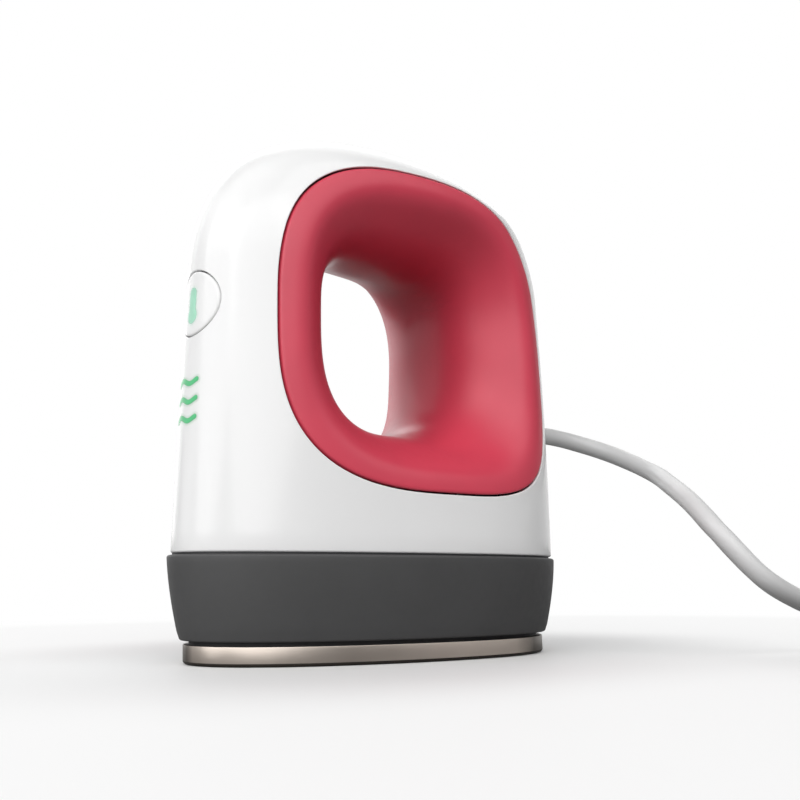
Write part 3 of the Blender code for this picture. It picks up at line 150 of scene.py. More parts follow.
class PressGripSizes(bpy.types.PropertyGroup):
    """The coloured tunnel through the handle."""

    front_margin: length("Front margin", "From the nose to the rim", 0.01036)
    rear_margin: length("Rear margin", "From the rear to the rim", 0.01147)
    top_margin: length("Top margin", "From the top to the rim", 0.0066)
    bottom_margin: length("Bottom margin", "From the shell's foot to the rim", 0.0111)
    front_roll: length("Front roll", "How far the tunnel rolls in at the front", 0.01475)
    rear_roll: length("Rear roll", "How far the tunnel rolls in at the rear", 0.0152)
    top_roll: length("Top roll", "How far the tunnel rolls in at the top", 0.01565)
    bottom_roll: length("Bottom roll", "How far the tunnel rolls in at the bottom", 0.0138)
    roll_power: power("Roll power", "How late the tunnel rolls in", 1.26)
    bead: length("Bead", "How far the rounded rim stands out of the plain roll", 0.0007)
    bead_reach: share("Bead reach", "Share of the roll that the rounded rim takes", 0.62)
    joint: length("Joint", "Gap between the liner and the shell", 0.0004)
    wall: length("Wall", "Thickness of the liner", 0.0016)


class PressCordSizes(bpy.types.PropertyGroup):
    """The mains cord, its coil and its plug."""

    cord_length: length("Cord length", "Length from the housing to the plug", 1.80)
    radius: length("Radius", "Radius of the cord", 0.00215)
    coil_x: length("Coil centre X", "Place of the coil's centre", 0.1065)
    coil_y: length("Coil far side Y", "Where the cord enters the coil", 0.0840)
    coil_turns: FloatProperty(
        name="Coil turns", description="Turns of the coil", default=10.0, min=1.0,
    )
    coil_layers: IntProperty(
        name="Coil layers", description="Layers of the coil", default=4, min=1,
    )
    coil_pitch: length("Coil pitch", "Distance between turns", 0.0049)
    tail_bend: length("Tail bend", "Radius of the cord's bend up to the plug", 0.0120)
    tie_thickness: length("Tie thickness", "Thickness of the coil's strap", 0.0005)
    tie_width: length("Tie width", "Width of the coil's strap", 0.0060)
    tie_angle: turn("Tie angle", "Where the strap goes round the coil", 240)
    plug_length: length("Plug length", "Length of the plug's body", 0.0240)
    plug_height: length("Plug height", "Height of the plug's body", 0.0150)
    collar_length: length("Collar length", "Length of the plug's collar", 0.0120)
    relief_length: length("Relief length", "Length of the gland outside the shell", 0.0120)


class PressMarkSizes(bpy.types.PropertyGroup):
    """The printed heat waves and the thermometer sign."""

    wave_half_width: length("Wave half width", "Half the width of a heat wave", 0.0033)
    wave_shift: length("Wave shift", "How far the waves stand beside the middle", -0.0007)
    wave_rise: length("Wave rise", "How high a heat wave swings", 0.00040)
    wave_stroke: length("Wave stroke", "Width of a heat wave's line", 0.00095)
    wave_top: length("Top wave height", "Height of the highest wave", 0.0510)
    wave_pitch: length("Wave pitch", "Distance between waves", 0.0035)
    sign_foot: length("Sign foot", "Lowest place of the thermometer sign", 0.0624)
    sign_height: length("Sign height", "Height of the thermometer sign", 0.0066)
    sign_bulb: length("Sign bulb", "Radius of the sign's bulb", 0.00135)
    sign_tube: length("Sign tube", "Half the width of the sign's tube", 0.00095)
    sign_stroke: length("Sign stroke", "Width of the sign's line", 0.00035)
    lift: length("Lift", "How far the print stands off the surface", 0.00003)
    glow: length("Glow", "Width of the pale border of the print", 0.0006)


class PressFinishColours(bpy.types.PropertyGroup):
    """Colours of the press's finishes."""

    shell: colour("Shell", "Glossy white shell", (0.86, 0.86, 0.86))
    grip: colour("Grip", "Raspberry liner", (0.645, 0.053, 0.093))
    band: colour("Band", "Charcoal band", (0.061, 0.061, 0.062))
    tray: colour("Tray", "Black tray in the joints", (0.02, 0.02, 0.022))
    plate: colour("Plate", "Champagne metal of the heat plate", (0.55, 0.484, 0.430))
    # Painted shade: this near-black colour on the plate's rounded lower edge stands in for the shadow
    # that the edge reflects
    plate_edge: colour("Plate edge", "Dark lower edge of the heat plate", (0.09, 0.08, 0.07))
    print_green: colour("Print", "Green of the printed marks", (0.10, 0.58, 0.24))
    sign_green: colour("Sign", "Pale green of the button's sign", (0.44, 0.87, 0.65))
    cord: colour("Cord", "White cord, gland and plug", (0.64, 0.64, 0.64))
    strap: colour("Strap", "Dark strap of the coil", (0.035, 0.035, 0.038))
    steel: colour("Steel", "Blades, screws and shield", (0.62, 0.62, 0.63))
    floor: colour("Floor", "Pale studio floor", (0.88, 0.88, 0.88))
    bounce: colour("Bounce", "Floor as the press itself receives it", (0.27, 0.27, 0.27))


class PressStudio(bpy.types.PropertyGroup):
    """The camera and the lamps."""

    camera_place: FloatVectorProperty(
        name="Camera place", description="Where the camera stands", subtype="TRANSLATION",
        default=(0.15523, -0.12729, 0.01510), size=3, precision=5,
    )
    camera_turn: turn("Camera turn", "How far the camera is turned about the vertical", 48.62)
    camera_pitch: turn("Camera pitch", "How far the camera looks up", 10.68)
    focal_length: FloatProperty(
        name="Focal length", description="Focal length on a 36 mm sensor", default=42.73,
        unit="CAMERA",
    )
    softness: turn("Softness", "How wide each lamp looks from the press", 50)
    nose_low: lamp_strength("Nose, low", 1.25)
    nose_high: lamp_strength("Nose, high", 0.35)
    near_low: lamp_strength("Near corner, low", 1.38)
    right_high: lamp_strength("Right, high", 0.88)
    rear_low: lamp_strength("Rear corner, low", 0.20)
    left_low: lamp_strength("Left, low", 0.45)
    left_high: lamp_strength("Left rear, high", 0.55)
    far_low: lamp_strength("Far corner, low", 0.38)


# The loops of the rim and of the tunnel's narrowest line: where each extreme place lies along the
# opening's height or length, as a share, and how square each quarter is
GRIP_SHARES = {"front": 0.532, "rear": 0.346, "top": 0.427, "bottom": 0.546}
GRIP_POWERS = {"top_front": 2.67, "top_rear": 2.96, "bottom_rear": 2.97, "bottom_front": 3.17}
TUNNEL_SHARES = {"front": 0.544, "rear": 0.536, "top": 0.478, "bottom": 0.526}
TUNNEL_POWERS = {"top_front": 2.98, "top_rear": 3.8, "bottom_rear": 2.58, "bottom_front": 3.08}
# Each lamp's turn from the nose towards the right side, and its height, in degrees
LAMPS = {
    "nose_low": (0, 26),
    "nose_high": (0, 52),
    "near_low": (47, 26),
    "right_high": (90, 46),
    "rear_low": (135, 26),
    "left_low": (270, 26),
    "left_high": (225, 52),
    "far_low": (315, 26),
}
# Listed places on the cord's way from the gland to its coil
CORD_ROUTE = [
    (0.0000, 0.0574, 0.0508),
    (0.0005, 0.0610, 0.0507),
    (0.0030, 0.0665, 0.0496),
    (0.0104, 0.0721, 0.0463),
    (0.0229, 0.0709, 0.0406),
    (0.0330, 0.0633, 0.0361),
    (0.0426, 0.0560, 0.0311),
    (0.0498, 0.0538, 0.0246),
    (0.0562, 0.0582, 0.0157),
    (0.0590, 0.0669, 0.0111),
    (0.0604, 0.0734, 0.0094),
    (0.0642, 0.0792, 0.0079),
    (0.0704, 0.0828, 0.0065),
    (0.0778, 0.0842, 0.0053),
    (0.0850, 0.0844, 0.0043),
    (0.0915, 0.0841, 0.0036),
]
SEAT_GAP = 0.0003
FLOOR_CLEARANCE = 0.0001
LIP_ANGLES = (10, 32, 55, 78, 90)
ROUND_COUNT = 96

# The plug's collar: distance from its cord end, radius
PLUG_COLLAR = [
    (0.0000, 0.0027), (0.0010, 0.0030), (0.0016, 0.0026), (0.0030, 0.0026), (0.0036, 0.0033),
    (0.0050, 0.0034), (0.0056, 0.0028), (0.0070, 0.0028), (0.0076, 0.0036), (0.0090, 0.0037),
]
# The plug's body: distance from the collar, half sizes across and upright, squareness
PLUG_BODY = [
    (0.0000, 0.0046, 0.0042, 2.1), (0.0012, 0.0066, 0.0058, 2.6), (0.0030, 0.0078, 0.0070, 3.2),
    (0.0070, 0.0090, 0.0075, 4.0), (0.0078, 0.0085, 0.0072, 4.0), (0.0088, 0.0085, 0.0072, 4.0),
    (0.0096, 0.0096, 0.0075, 4.2), (0.0108, 0.0099, 0.0075, 4.4), (0.0116, 0.0094, 0.0072, 4.4),
    (0.0126, 0.0095, 0.0072, 4.4), (0.0134, 0.0106, 0.0075, 4.6), (0.0170, 0.0114, 0.0075, 5.0),
    (0.0200, 0.0118, 0.0075, 5.2),
]
# The body's last rings: distance from the plug's face, then the same sizes
PLUG_FACE = [
    (0.0010, 0.0118, 0.0074, 5.2), (0.0003, 0.0114, 0.0070, 5.2), (0.0000, 0.0106, 0.0062, 5.2),
]
BLADE_SPACING = 0.0127
BLADE_SLOT = (0.0021, 0.0066, 0.0070)

# The gland outside the shell: radius and distance from the rear face
GLAND_COLLAR = [
    (0.0033, 0.0003), (0.0040, 0.0003), (0.0042, 0.0006), (0.0042, 0.0011), (0.0039, 0.0015),
    (0.0032, 0.0017),
]
# One rib and groove: depth below the taper, distance from the rib's start
GLAND_RIB = [(0.0, 0.0), (0.00025, 0.0003), (0.0003, 0.0008), (0.00008, 0.0011)]
GLAND_RIBS, GLAND_RIB_PITCH, GLAND_RIBS_START = 4, 0.0021, 0.0026
GLAND_NECK, GLAND_TAPER, GLAND_TAPER_START = 0.0032, 0.0006 / 0.0105, 0.0015
GLAND_ANCHOR, GLAND_ANCHOR_GAP = 0.0048, 0.0007
GLAND_THROAT, GLAND_THROAT_LENGTH = 0.0018, 0.0016
# The gland's end: radius and distance from its tip
GLAND_TIP = [(0.0026, 0.0004), (0.00235, 0.0)]
CORD_HOLE_RADIUS = 0.0036
CORD_HOLE_ENDS = (-0.007, 0.004)
CORD_START = 0.0004
STRAP_EDGE, STRAP_FLAT = 0.8, 0.94

# Joints, seats and steps of the base
SEAM_GASKET = (0.0010, 0.0026)
PLATE_GASKET = (0.0011, 0.0025)
GASKET_OVERLAP = 0.0004
FLANGE_SEAT = 0.0005
PLATE_STEP_RISE = 0.0016
PLATE_RING_STEP = 0.003
BAND_STEPS = 14
# How far in the middle of a rounded bevel lies, as a share of the bevel
BEVEL_MIDDLE = 0.3
# A face whose normal is this upright is level
FLAT_NORMAL = 0.99

# The cutters, the liner and the button
# How far out the grip's cutter begins, as a share of the base's width
CUTTER_REACH = 0.6
BUTTON_CUT_START = 0.004
# How close to the uncut skin a place still counts as lying on it
SKIN_REACH = 0.00002
LINER_TONGUE = 0.0012
LINER_STEPS = 56
# Rows behind the rim at which the liner's back begins
LINER_BACK_START = 3
STEM_RADIUS = 0.0022
TAB_WIDTH, TAB_THICKNESS, TAB_GAP = 0.0040, 0.0010, 0.00015
TAB_REACH, TAB_SETBACK = 0.0013, 0.0006

# Finishes and studio
BUMP_DISTANCE = 0.0001
NOISE_LOW, NOISE_HIGH = 0.35, 0.65
SPECK_SHARE = 0.3
# Places of a colour Mix node's sockets
MIX_FACTOR, MIX_FIRST, MIX_SECOND, MIX_RESULT = 0, 6, 7, 2
PRINT_BLUR = 0.00012
PATCH_STEP = 0.00012
WAVE_SWING, WAVE_STEPS = 1.2 * math.pi, 40
FLOOR_RADIUS, FLOOR_DROP = 6.0, 0.00005
FLOOR_ROUGHNESS, FLOOR_SPECULAR = 0.6, 0.2
FLOOR_SQUEEZE = (1.0, 0.65, 1.0)
# Where the floor turns white: from, to, and how far it turns
FLOOR_FADES = [(0.04, 0.08, 0.65), (0.10, 0.19, 1.0)]
# The side on which mirror-like surfaces meet the white backdrop, and its soft edge
BACKDROP_WAY = (-0.75, 0.66, 0.0)
BACKDROP_FADE = (0.3, 0.9)


class PressForm:
    """The shell's and the base's shared shape, with the settings read once as plain numbers."""

    def __init__(self, scene):
        for group in (scene.press_base, scene.press_shell):
            for name in type(group).__annotations__:
                setattr(self, name, getattr(group, name))
        self.half_length = self.base_length / 2
        self.half_base = self.base_width / 2
        self.relief_length = scene.press_cord.relief_length
        self.drawn_foot = self.foot - self.foot_drop
        self.top = self.foot + self.height
        self.band_top = self.band_foot + self.band_height

    def corner(self, z, radius):
        """How far a rounding of the shell's top draws in at height z."""
        rise = min(1.0, max(0.0, z - (self.top - radius)) / radius)
        return radius * (1 - math.sqrt(1 - rise * rise))

    def rise(self, z):
        """How far up the shell a height is, as a share of the shell's own height."""
        return max(0.0, (z - self.foot) / self.height)

    def widest(self, front, rear):
        """Where the plan is widest between its front and its rear."""
        return front + self.widest_share * (rear - front)

    def section(self, z):
        """Front, rear and half width of the shell at height z, before the top's fall."""
        rise = self.rise(z)
        front = -self.half_length + self.inset + self.front_lean * rise
        rear = self.half_length - self.rear_inset - self.rear_lean * rise
        side = self.half_base - self.inset - self.side_draw * rise ** self.side_draw_power
        return (
            front + self.corner(z, self.top_front),
            rear - self.corner(z, self.top_rear),
            side - self.corner(z, self.top_side),
        )

    def fall(self, y, z):
        """How far the top's fall lowers a place; it grows towards the rear and the top."""
        return self.top_fall * self.rise(z) ** 2 * y / self.half_length

    def level(self, y, z, repeats=8):
        """The height of the section that passes through a place, before the top's fall."""
        found = z
        for _ in range(repeats):
            found = z + self.fall(y, found)
        return found

    def half_width(self, y, z):
        """How far the shell's side is from the middle plane at a place."""
        front, rear, half = self.section(self.level(y, z))
        widest = self.widest(front, rear)
        if y < widest:
            reach = min(1.0, (widest - y) / (widest - front))
            return half * math.sqrt(1 - reach ** self.nose_power)
        reach = min(1.0, (y - widest) / (rear - widest))
        return half * (1 - reach ** self.tail_power) ** (1 / self.tail_corner_power)

    def nose_y(self, x, z, repeats=6):
        """Where the shell's nose lies at a distance x beside its middle line."""
        y = -self.half_length
        for _ in range(repeats):
            front, rear, half = self.section(self.level(y, z))
            widest = self.widest(front, rear)
            reach = (1 - (x / half) ** 2) ** (1 / self.nose_power)
            y = widest - (widest - front) * reach
        return y

    def outline(self, front, rear, half, nose_points=46, tail_points=34):
        """The iron-shaped plan between front and rear, from the nose towards +X."""
        widest = self.widest(front, rear)
        right = []
        for step in range(nose_points):
            angle = math.pi / 2 * (1 - step / nose_points)
            ahead = math.sin(angle) ** (2 / self.nose_power)
            right.append((half * math.cos(angle), widest - (widest - front) * ahead))
        for step in range(tail_points):
            angle = math.pi / 2 * step / tail_points
            across = math.cos(angle) ** (2 / self.tail_corner_power)
            behind = math.sin(angle) ** (2 / self.tail_power)
            right.append((half * across, widest + (rear - widest) * behind))
        left = [(-x, y) for x, y in reversed(right[1:])]
        return [(0.0, front)] + right[1:] + [(0.0, rear)] + left

    def shell_ring(self, z, inset=0.0):
        front, rear, half = self.section(z)
        outline = self.outline(front + inset, rear - inset, half - inset)
        return [Vector((x, y, z - self.fall(y, z))) for x, y in outline]

    def base_ring(self, inset, z):
        """The plan drawn in by an inset, and moved back by the rake at height z."""
        end = self.half_length - inset
        rake = self.rake * max(0.0, self.band_top - z)
        outline = self.outline(-end, end, self.half_base - inset)
        return [Vector((x, y + rake, z)) for x, y in outline]

    def band_inset(self, z):
        """How far the band's side lies inside the plan at height z."""
        low = (self.band_top - z) / self.band_height
        return self.band_draw * low ** self.band_draw_power

    def shell_heights(self, first, wall_levels=16, top_levels=30):
        """Heights of the shell's rings: even up the walls, then closer over the rounded top."""
        bend = self.top - self.top_front
        walls = [first + (bend - first) * i / wall_levels for i in range(wall_levels)]
        turns = [math.pi / 2 * i / top_levels for i in range(top_levels + 1)]
        return walls + [bend + self.top_front * math.sin(angle) for angle in turns]

    def rear_face(self):
        """Where the solids' rear wall is at the cord's exit."""
        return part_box("strain_relief")[1].y - self.relief_length


def loop_outline(front, top, rear, bottom, powers, count):
    """A rounded loop in the YZ plane through four extreme points."""
    points = []
    for step in range(count):
        angle = 2 * math.pi * step / count
        c, s = math.cos(angle), math.sin(angle)
        across = rear if c >= 0 else front
        upright = top if s >= 0 else bottom
        name = ("top_" if s >= 0 else "bottom_") + ("rear" if c >= 0 else "front")
        share_y = abs(c) ** (2 / powers[name])
        share_z = abs(s) ** (2 / powers[name])
        points.append((
            upright[0] + (across[0] - upright[0]) * share_y,
            across[1] + (upright[1] - across[1]) * share_z,
        ))
    return points


def grow_loop(points, distance):
    """Move a closed YZ outline outwards along its normals."""
    grown = []
    count = len(points)
    for i in range(count):
        along = (Vector(points[(i + 1) % count]) - Vector(points[i - 1])).normalized()
        grown.append((points[i][0] + along.y * distance, points[i][1] - along.x * distance))
    return grown


def grip_loops(scene, count=3840):
    """The rim and the tunnel's narrowest line, point by point."""
    form, grip = PressForm(scene), scene.press_grip
    front, rear, _ = form.section(form.foot + form.height / 2)
    front, rear = front + grip.front_margin, rear - grip.rear_margin
    low, high = form.foot + grip.bottom_margin, form.top - grip.top_margin
    span, rise = rear - front, high - low

    def extremes(shares, rolls):
        return {
            "front": (front + rolls[0], low + rise * shares["front"]),
            "rear": (rear - rolls[1], low + rise * shares["rear"]),
            "top": (front + span * shares["top"], high - rolls[2]),
            "bottom": (front + span * shares["bottom"], low + rolls[3]),
        }

    rolls = (grip.front_roll, grip.rear_roll, grip.top_roll, grip.bottom_roll)
    rim = loop_outline(**extremes(GRIP_SHARES, (0.0,) * 4), powers=GRIP_POWERS, count=count)
    waist = loop_outline(**extremes(TUNNEL_SHARES, rolls), powers=TUNNEL_POWERS, count=count)
    return rim, waist


def matched_loops(scene, count=192):
    """Rim and waist read again together, at even steps along the rim."""
    rim, waist = (loop + loop[:1] for loop in grip_loops(scene))
    along = [0.0]
    for a, b in zip(rim, rim[1:]):
        along.append(along[-1] + math.dist(a, b))
    targets = [along[-1] * step / count for step in range(count)]
    read = []
    for loop in (rim, waist):
        axes = [np.interp(targets, along, [point[axis] for point in loop]) for axis in (0, 1)]
        read.append([(float(y), float(z)) for y, z in zip(*axes)])
    return read


def arc(reach, height, first, last, steps):
    """Places along an arc in the XZ plane whose middle is at a height, both ends included."""
    angles = [first + (last - first) * step / steps for step in range(steps + 1)]
    return [(reach * math.cos(angle), height + reach * math.sin(angle)) for angle in angles]


def circle(reach, height, count=ROUND_COUNT):
    """Even places round a whole circle, each given once."""
    return arc(reach, height, 0.0, 2 * math.pi, count)[:-1]


def quarter(steps):
    """Even angles of a quarter turn, in degrees."""
    return [90 * step / steps for step in range(steps + 1)]


def rounding(radius, degrees):
    """How far in and how far up a rounded edge lies at each angle, from its outer end."""
    angles = [math.radians(angle) for angle in degrees]
    return [(radius * (1 - math.sin(angle)), radius * (1 - math.cos(angle))) for angle in angles]


def mirrored(rings):
    """The same rings on the other side, in reverse order."""
    return [[(-x, y, z) for x, y, z in ring] for ring in reversed(rings)]


def new_mesh_object(name, work, finish=None, body=None):
    """Turn a bmesh into a piece with a finish that rides on a body."""
    mesh = bpy.data.meshes.new(name)
    work.to_mesh(mesh)
    work.free()
    mesh.shade_smooth()
    piece = bpy.data.objects.new(name, mesh)
    bpy.context.scene.collection.objects.link(piece)
    if finish:
        mesh.materials.append(finish_named(finish))
    if body:
        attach(piece, body)
    return piece


def add_rows(work, rings, wrap=False, cap_first=False, cap_last=False):
    """Skin a row of closed rings and return their vertices."""
    rows = [[work.verts.new(point) for point in ring] for ring in rings]
    for lower, upper in zip(rows, rows[1:] + (rows[:1] if wrap else [])):
        for i in range(len(lower)):
            j = (i + 1) % len(lower)
            work.faces.new((lower[i], lower[j], upper[j], upper[i]))
    if cap_first:
        work.faces.new(tuple(reversed(rows[0])))
    if cap_last:
        work.faces.new(rows[-1])
    return rows


def inner_rings(rings, wall, **rows):
    """The rings of the skin that lies a wall's thickness behind the skin over these rings."""
    work = bmesh.new()
    made = add_rows(work, rings, **rows)
    work.normal_update()
    inner = [[vert.co - vert.normal * wall for vert in row] for row in made]
    work.free()
    return inner


def sharpen(piece, degrees):
    piece.data.set_sharp_from_angle(angle=math.radians(degrees))
    return piece


def make_piece(name, rings, finish=None, body=None, degrees=None, wrap=False):
    """A closed piece skinned over rings, sharp where its faces turn by more than the degrees."""
    work = bmesh.new()
    add_rows(work, rings, wrap=wrap, cap_first=not wrap, cap_last=not wrap)
    bmesh.ops.recalc_face_normals(work, faces=work.faces)
    piece = new_mesh_object(name, work, finish, body)
    return sharpen(piece, degrees) if degrees else piece


def add_block(work, size, middle):
    made = bmesh.ops.create_cube(work, size=1.0)["verts"]
    bmesh.ops.scale(work, vec=size, verts=made)
    bmesh.ops.translate(work, vec=middle, verts=made)


def apply_modifiers(piece):
    """Bake a piece's modifiers into its mesh."""
    graph = bpy.context.evaluated_depsgraph_get()
    mesh = bpy.data.meshes.new_from_object(piece.evaluated_get(graph), depsgraph=graph)
    old = piece.data
    name = old.name
    piece.modifiers.clear()
    piece.data = mesh
    bpy.data.meshes.remove(old)
    mesh.name = name


def remove(piece):
    data = piece.data
    bpy.data.objects.remove(piece, do_unlink=True)
    bpy.data.meshes.remove(data)


def cut(piece, cutter):
    """Take a cutter's form out of a piece, and the cutter out of the scene."""
    step = piece.modifiers.new(cutter.name, "BOOLEAN")
    step.operation = "DIFFERENCE"
    step.solver = "EXACT"
    step.object = cutter
    apply_modifiers(piece)
    remove(cutter)


def add_node(tree, kind, inputs=(), **settings):
    """A new node's outputs, after its settings are made and its inputs are linked or set."""
    node = tree.nodes.new("ShaderNode" + kind)
    for name, value in settings.items():
        setattr(node, name, value)
    for socket, value in dict(inputs).items():
        if isinstance(value, bpy.types.NodeSocket):
            tree.links.new(value, node.inputs[socket])
        else:
            node.inputs[socket].default_value = value
    return node.outputs


def math_node(tree, operation, *values):
    return add_node(tree, "Math", enumerate(values), operation=operation)[0]


def noise_node(tree, vector, scale, detail=2.0, roughness=0.5):
    inputs = {"Vector": vector, "Scale": scale, "Detail": detail, "Roughness": roughness}
    return add_node(tree, "TexNoise", inputs)["Fac"]


def range_node(tree, value, low, high, out_low=0.0, out_high=1.0, kind="LINEAR"):
    """A value moved from one range to another and held at its ends."""
    inputs = {
        "Value": value, "From Min": low, "From Max": high, "To Min": out_low, "To Max": out_high,
    }
    return add_node(tree, "MapRange", inputs, interpolation_type=kind)["Result"]


def mix_node(tree, factor, first, second):
    """Two colours mixed by a factor; each is a node's output or a plain colour."""
    inputs = {MIX_FACTOR: factor}
    for socket, side in ((MIX_FIRST, first), (MIX_SECOND, second)):
        linked = isinstance(side, bpy.types.NodeSocket)
        inputs[socket] = side if linked else (*side, 1.0)
    return add_node(tree, "Mix", inputs, data_type="RGBA")[MIX_RESULT]


def object_place(tree):
    return add_node(tree, "TexCoord")["Object"]


def split(tree, vector):
    return add_node(tree, "SeparateXYZ", {0: vector})


def shared_group(name, build, inputs, outputs):
    """A shader group that is built at its first use and found by its name after that."""
    if name in bpy.data.node_groups:
        return bpy.data.node_groups[name]
    tree = bpy.data.node_groups.new(name, "ShaderNodeTree")
    for socket, value in inputs.items():
        made = tree.interface.new_socket(name=socket, in_out="INPUT", socket_type="NodeSocketFloat")
        made.default_value = value
    for socket in outputs:
        tree.interface.new_socket(name=socket, in_out="OUTPUT", socket_type="NodeSocketFloat")
    given = tree.nodes.new("NodeGroupInput").outputs
    result = tree.nodes.new("NodeGroupOutput").inputs
    for socket, value in zip(outputs, build(tree, given)):
        tree.links.new(value, result[socket])
    return tree


def grain_nodes(tree, given):
    place = object_place(tree)
    height = noise_node(tree, place, given["Grain Scale"], detail=3.0, roughness=0.6)
    shade = noise_node(tree, place, given["Shade Scale"], detail=3.0)
    speck_scale = math_node(tree, "MULTIPLY", given["Grain Scale"], SPECK_SHARE)
    return height, shade, noise_node(tree, place, speck_scale)


def moulded_grain():
    """Fine moulded grain and slow shade changes for plastics, by the piece's own place."""
    inputs = {"Grain Scale": 3000.0, "Shade Scale": 60.0}
    return shared_group("moulded_grain", grain_nodes, inputs, ("Height", "Shade", "Speck"))


def brush_nodes(tree, given):
    place = object_place(tree)
    parts = split(tree, place)
    flat = {axis: math_node(tree, "DIVIDE", parts[axis], given["Stretch"]) for axis in "XY"}
    stretched = add_node(tree, "CombineXYZ", {**flat, "Z": parts["Z"]})[0]
    height = noise_node(tree, stretched, given["Line Scale"], detail=4.0, roughness=0.7)
    return height, noise_node(tree, place, scale=90.0, detail=3.0, roughness=0.6)


def brushed_lines():
    """Long fine lines that run level round a metal part."""
    inputs = {"Line Scale": 5000.0, "Stretch": 60.0}
    return shared_group("brushed_lines", brush_nodes, inputs, ("Height", "Shade"))


def weave_nodes(tree, given):
    place = object_place(tree)
    inputs = {"Vector": place, "Scale": given["Thread Scale"]}
    waves = [add_node(tree, "TexWave", inputs, bands_direction=way)["Fac"] for way in "XZ"]
    shade = noise_node(tree, place, scale=400.0, detail=3.0)
    return math_node(tree, "MULTIPLY", *waves), shade


def strap_weave():
    """Over and under threads of a woven strap."""
    return shared_group("strap_weave", weave_nodes, {"Thread Scale": 900.0}, ("Height", "Shade"))


def socket_name(word):
    return word.replace("_", " ").title()


def tone(base, factor):
    """A colour made lighter or darker by a factor."""
    return tuple(min(1.0, channel * factor) for channel in base)


class Finish:
    """A material under construction: one Principled shader and small helpers for its nodes."""

    def __init__(self, name, base, roughness, metallic=0.0, **constants):
        self.material = bpy.data.materials.new(name)
        self.material.use_nodes = True
        self.material.diffuse_color = (*base, 1.0)
        self.tree = self.material.node_tree
        self.shader = self.tree.nodes["Principled BSDF"]
        self.base = tuple(base)
        self.roughness = roughness
        constants.update(base_color=(*base, 1.0), roughness=roughness, metallic=metallic)
        for word, value in constants.items():
            self.shader.inputs[socket_name(word)].default_value = value

    def link(self, output, socket):
        self.tree.links.new(output, self.shader.inputs[socket])

    def group(self, tree, **values):
        inputs = {socket_name(word): value for word, value in values.items()}
        return add_node(self.tree, "Group", inputs, node_tree=tree)

    def drift(self, noise, start=0.0, end=1.0):
        """A value that goes from start to end as a noise goes over its usual range."""
        return range_node(self.tree, noise, NOISE_LOW, NOISE_HIGH, start, end)

    def textured(self, outputs, rub, spread, gloss, bump):
        """Let colour, roughness and relief follow a group's outputs; returns the first two."""
        dark, light = tone(self.base, 1 - spread), tone(self.base, 1 + spread)
        toned = mix_node(self.tree, self.drift(outputs["Shade"]), dark, light)
        self.link(toned, "Base Color")
        rubbed = self.drift(outputs[rub], self.roughness - gloss, self.roughness + gloss)
        self.link(rubbed, "Roughness")
        relief = {"Height": outputs["Height"], "Strength": bump, "Distance": BUMP_DISTANCE}
        self.link(add_node(self.tree, "Bump", relief)["Normal"], "Normal")
        return toned, rubbed


def moulded_plastic(
    name, base, roughness, grain=3000.0, bump=0.05, spread=0.02, gloss=0.03, **constants,
):
    """A moulded plastic with fine grain, slow shade changes and uneven gloss."""
    finish = Finish(name, base, roughness, **constants)
    grained = finish.group(moulded_grain(), grain_scale=grain, shade_scale=70.0)
    finish.textured(grained, "Speck", spread, gloss, bump)
    return finish.material


def tunnel_plastic(name, base, roughness, dull=0.32, smoother=0.11, fade=(0.005, 0.015)):
    """Moulded plastic, smoother towards the middle of the tunnel, with painted shade that darkens it
    there.
    """
    finish = Finish(name, base, roughness)
    grained = finish.group(moulded_grain(), grain_scale=2600.0, shade_scale=70.0)
    toned, gloss = finish.textured(grained, "Speck", spread=0.03, gloss=0.012, bump=0.01)
    across = split(finish.tree, object_place(finish.tree))["X"]
    depth = math_node(finish.tree, "ABSOLUTE", across)
    inward = range_node(finish.tree, depth, *fade, 1.0, 0.0)
    smooth = math_node(finish.tree, "MULTIPLY", inward, smoother)
    finish.link(math_node(finish.tree, "SUBTRACT", gloss, smooth), "Roughness")
    # Painted shade: the base colour darkens towards the middle of the tunnel.
    finish.link(mix_node(finish.tree, inward, toned, tone(base, 1 - dull)), "Base Color")
    return finish.material


def brushed_metal(name, base, roughness, stretch=60.0, spread=0.05):
    """A metal with level brushing and slow tarnish."""
    finish = Finish(name, base, roughness, metallic=1.0)
    lines = finish.group(brushed_lines(), line_scale=5000.0, stretch=stretch)
    finish.textured(lines, "Height", spread, gloss=0.06, bump=0.06)
    return finish.material


def plate_metal(
    name, base, roughness, rear_tone=1.8, rear_fade=(-0.018, 0.006), edge_tone=0.35,
    edge_fade=(0.42, 0.62),
):
    """Satin champagne metal, with a painted highlight towards the rear and a painted dark reflection
    where it turns away.
    """
    finish = Finish(name, base, roughness, metallic=1.0)
    tree = finish.tree
    lines = finish.group(brushed_lines(), line_scale=5000.0, stretch=60.0)
    toned, _ = finish.textured(lines, "Height", spread=0.015, gloss=0.02, bump=0.012)
    # Painted highlight: the base colour lightens towards the rear.
    along = split(tree, object_place(tree))["Y"]
    highlighted = mix_node(tree, range_node(tree, along, *rear_fade), toned, tone(base, rear_tone))
    # Painted dark reflection: the base colour darkens where the surface turns away.
    facing = add_node(tree, "LayerWeight")["Facing"]
    turned = range_node(tree, facing, *edge_fade)
    finish.link(mix_node(tree, turned, highlighted, tone(base, edge_tone)), "Base Color")
    return finish.material


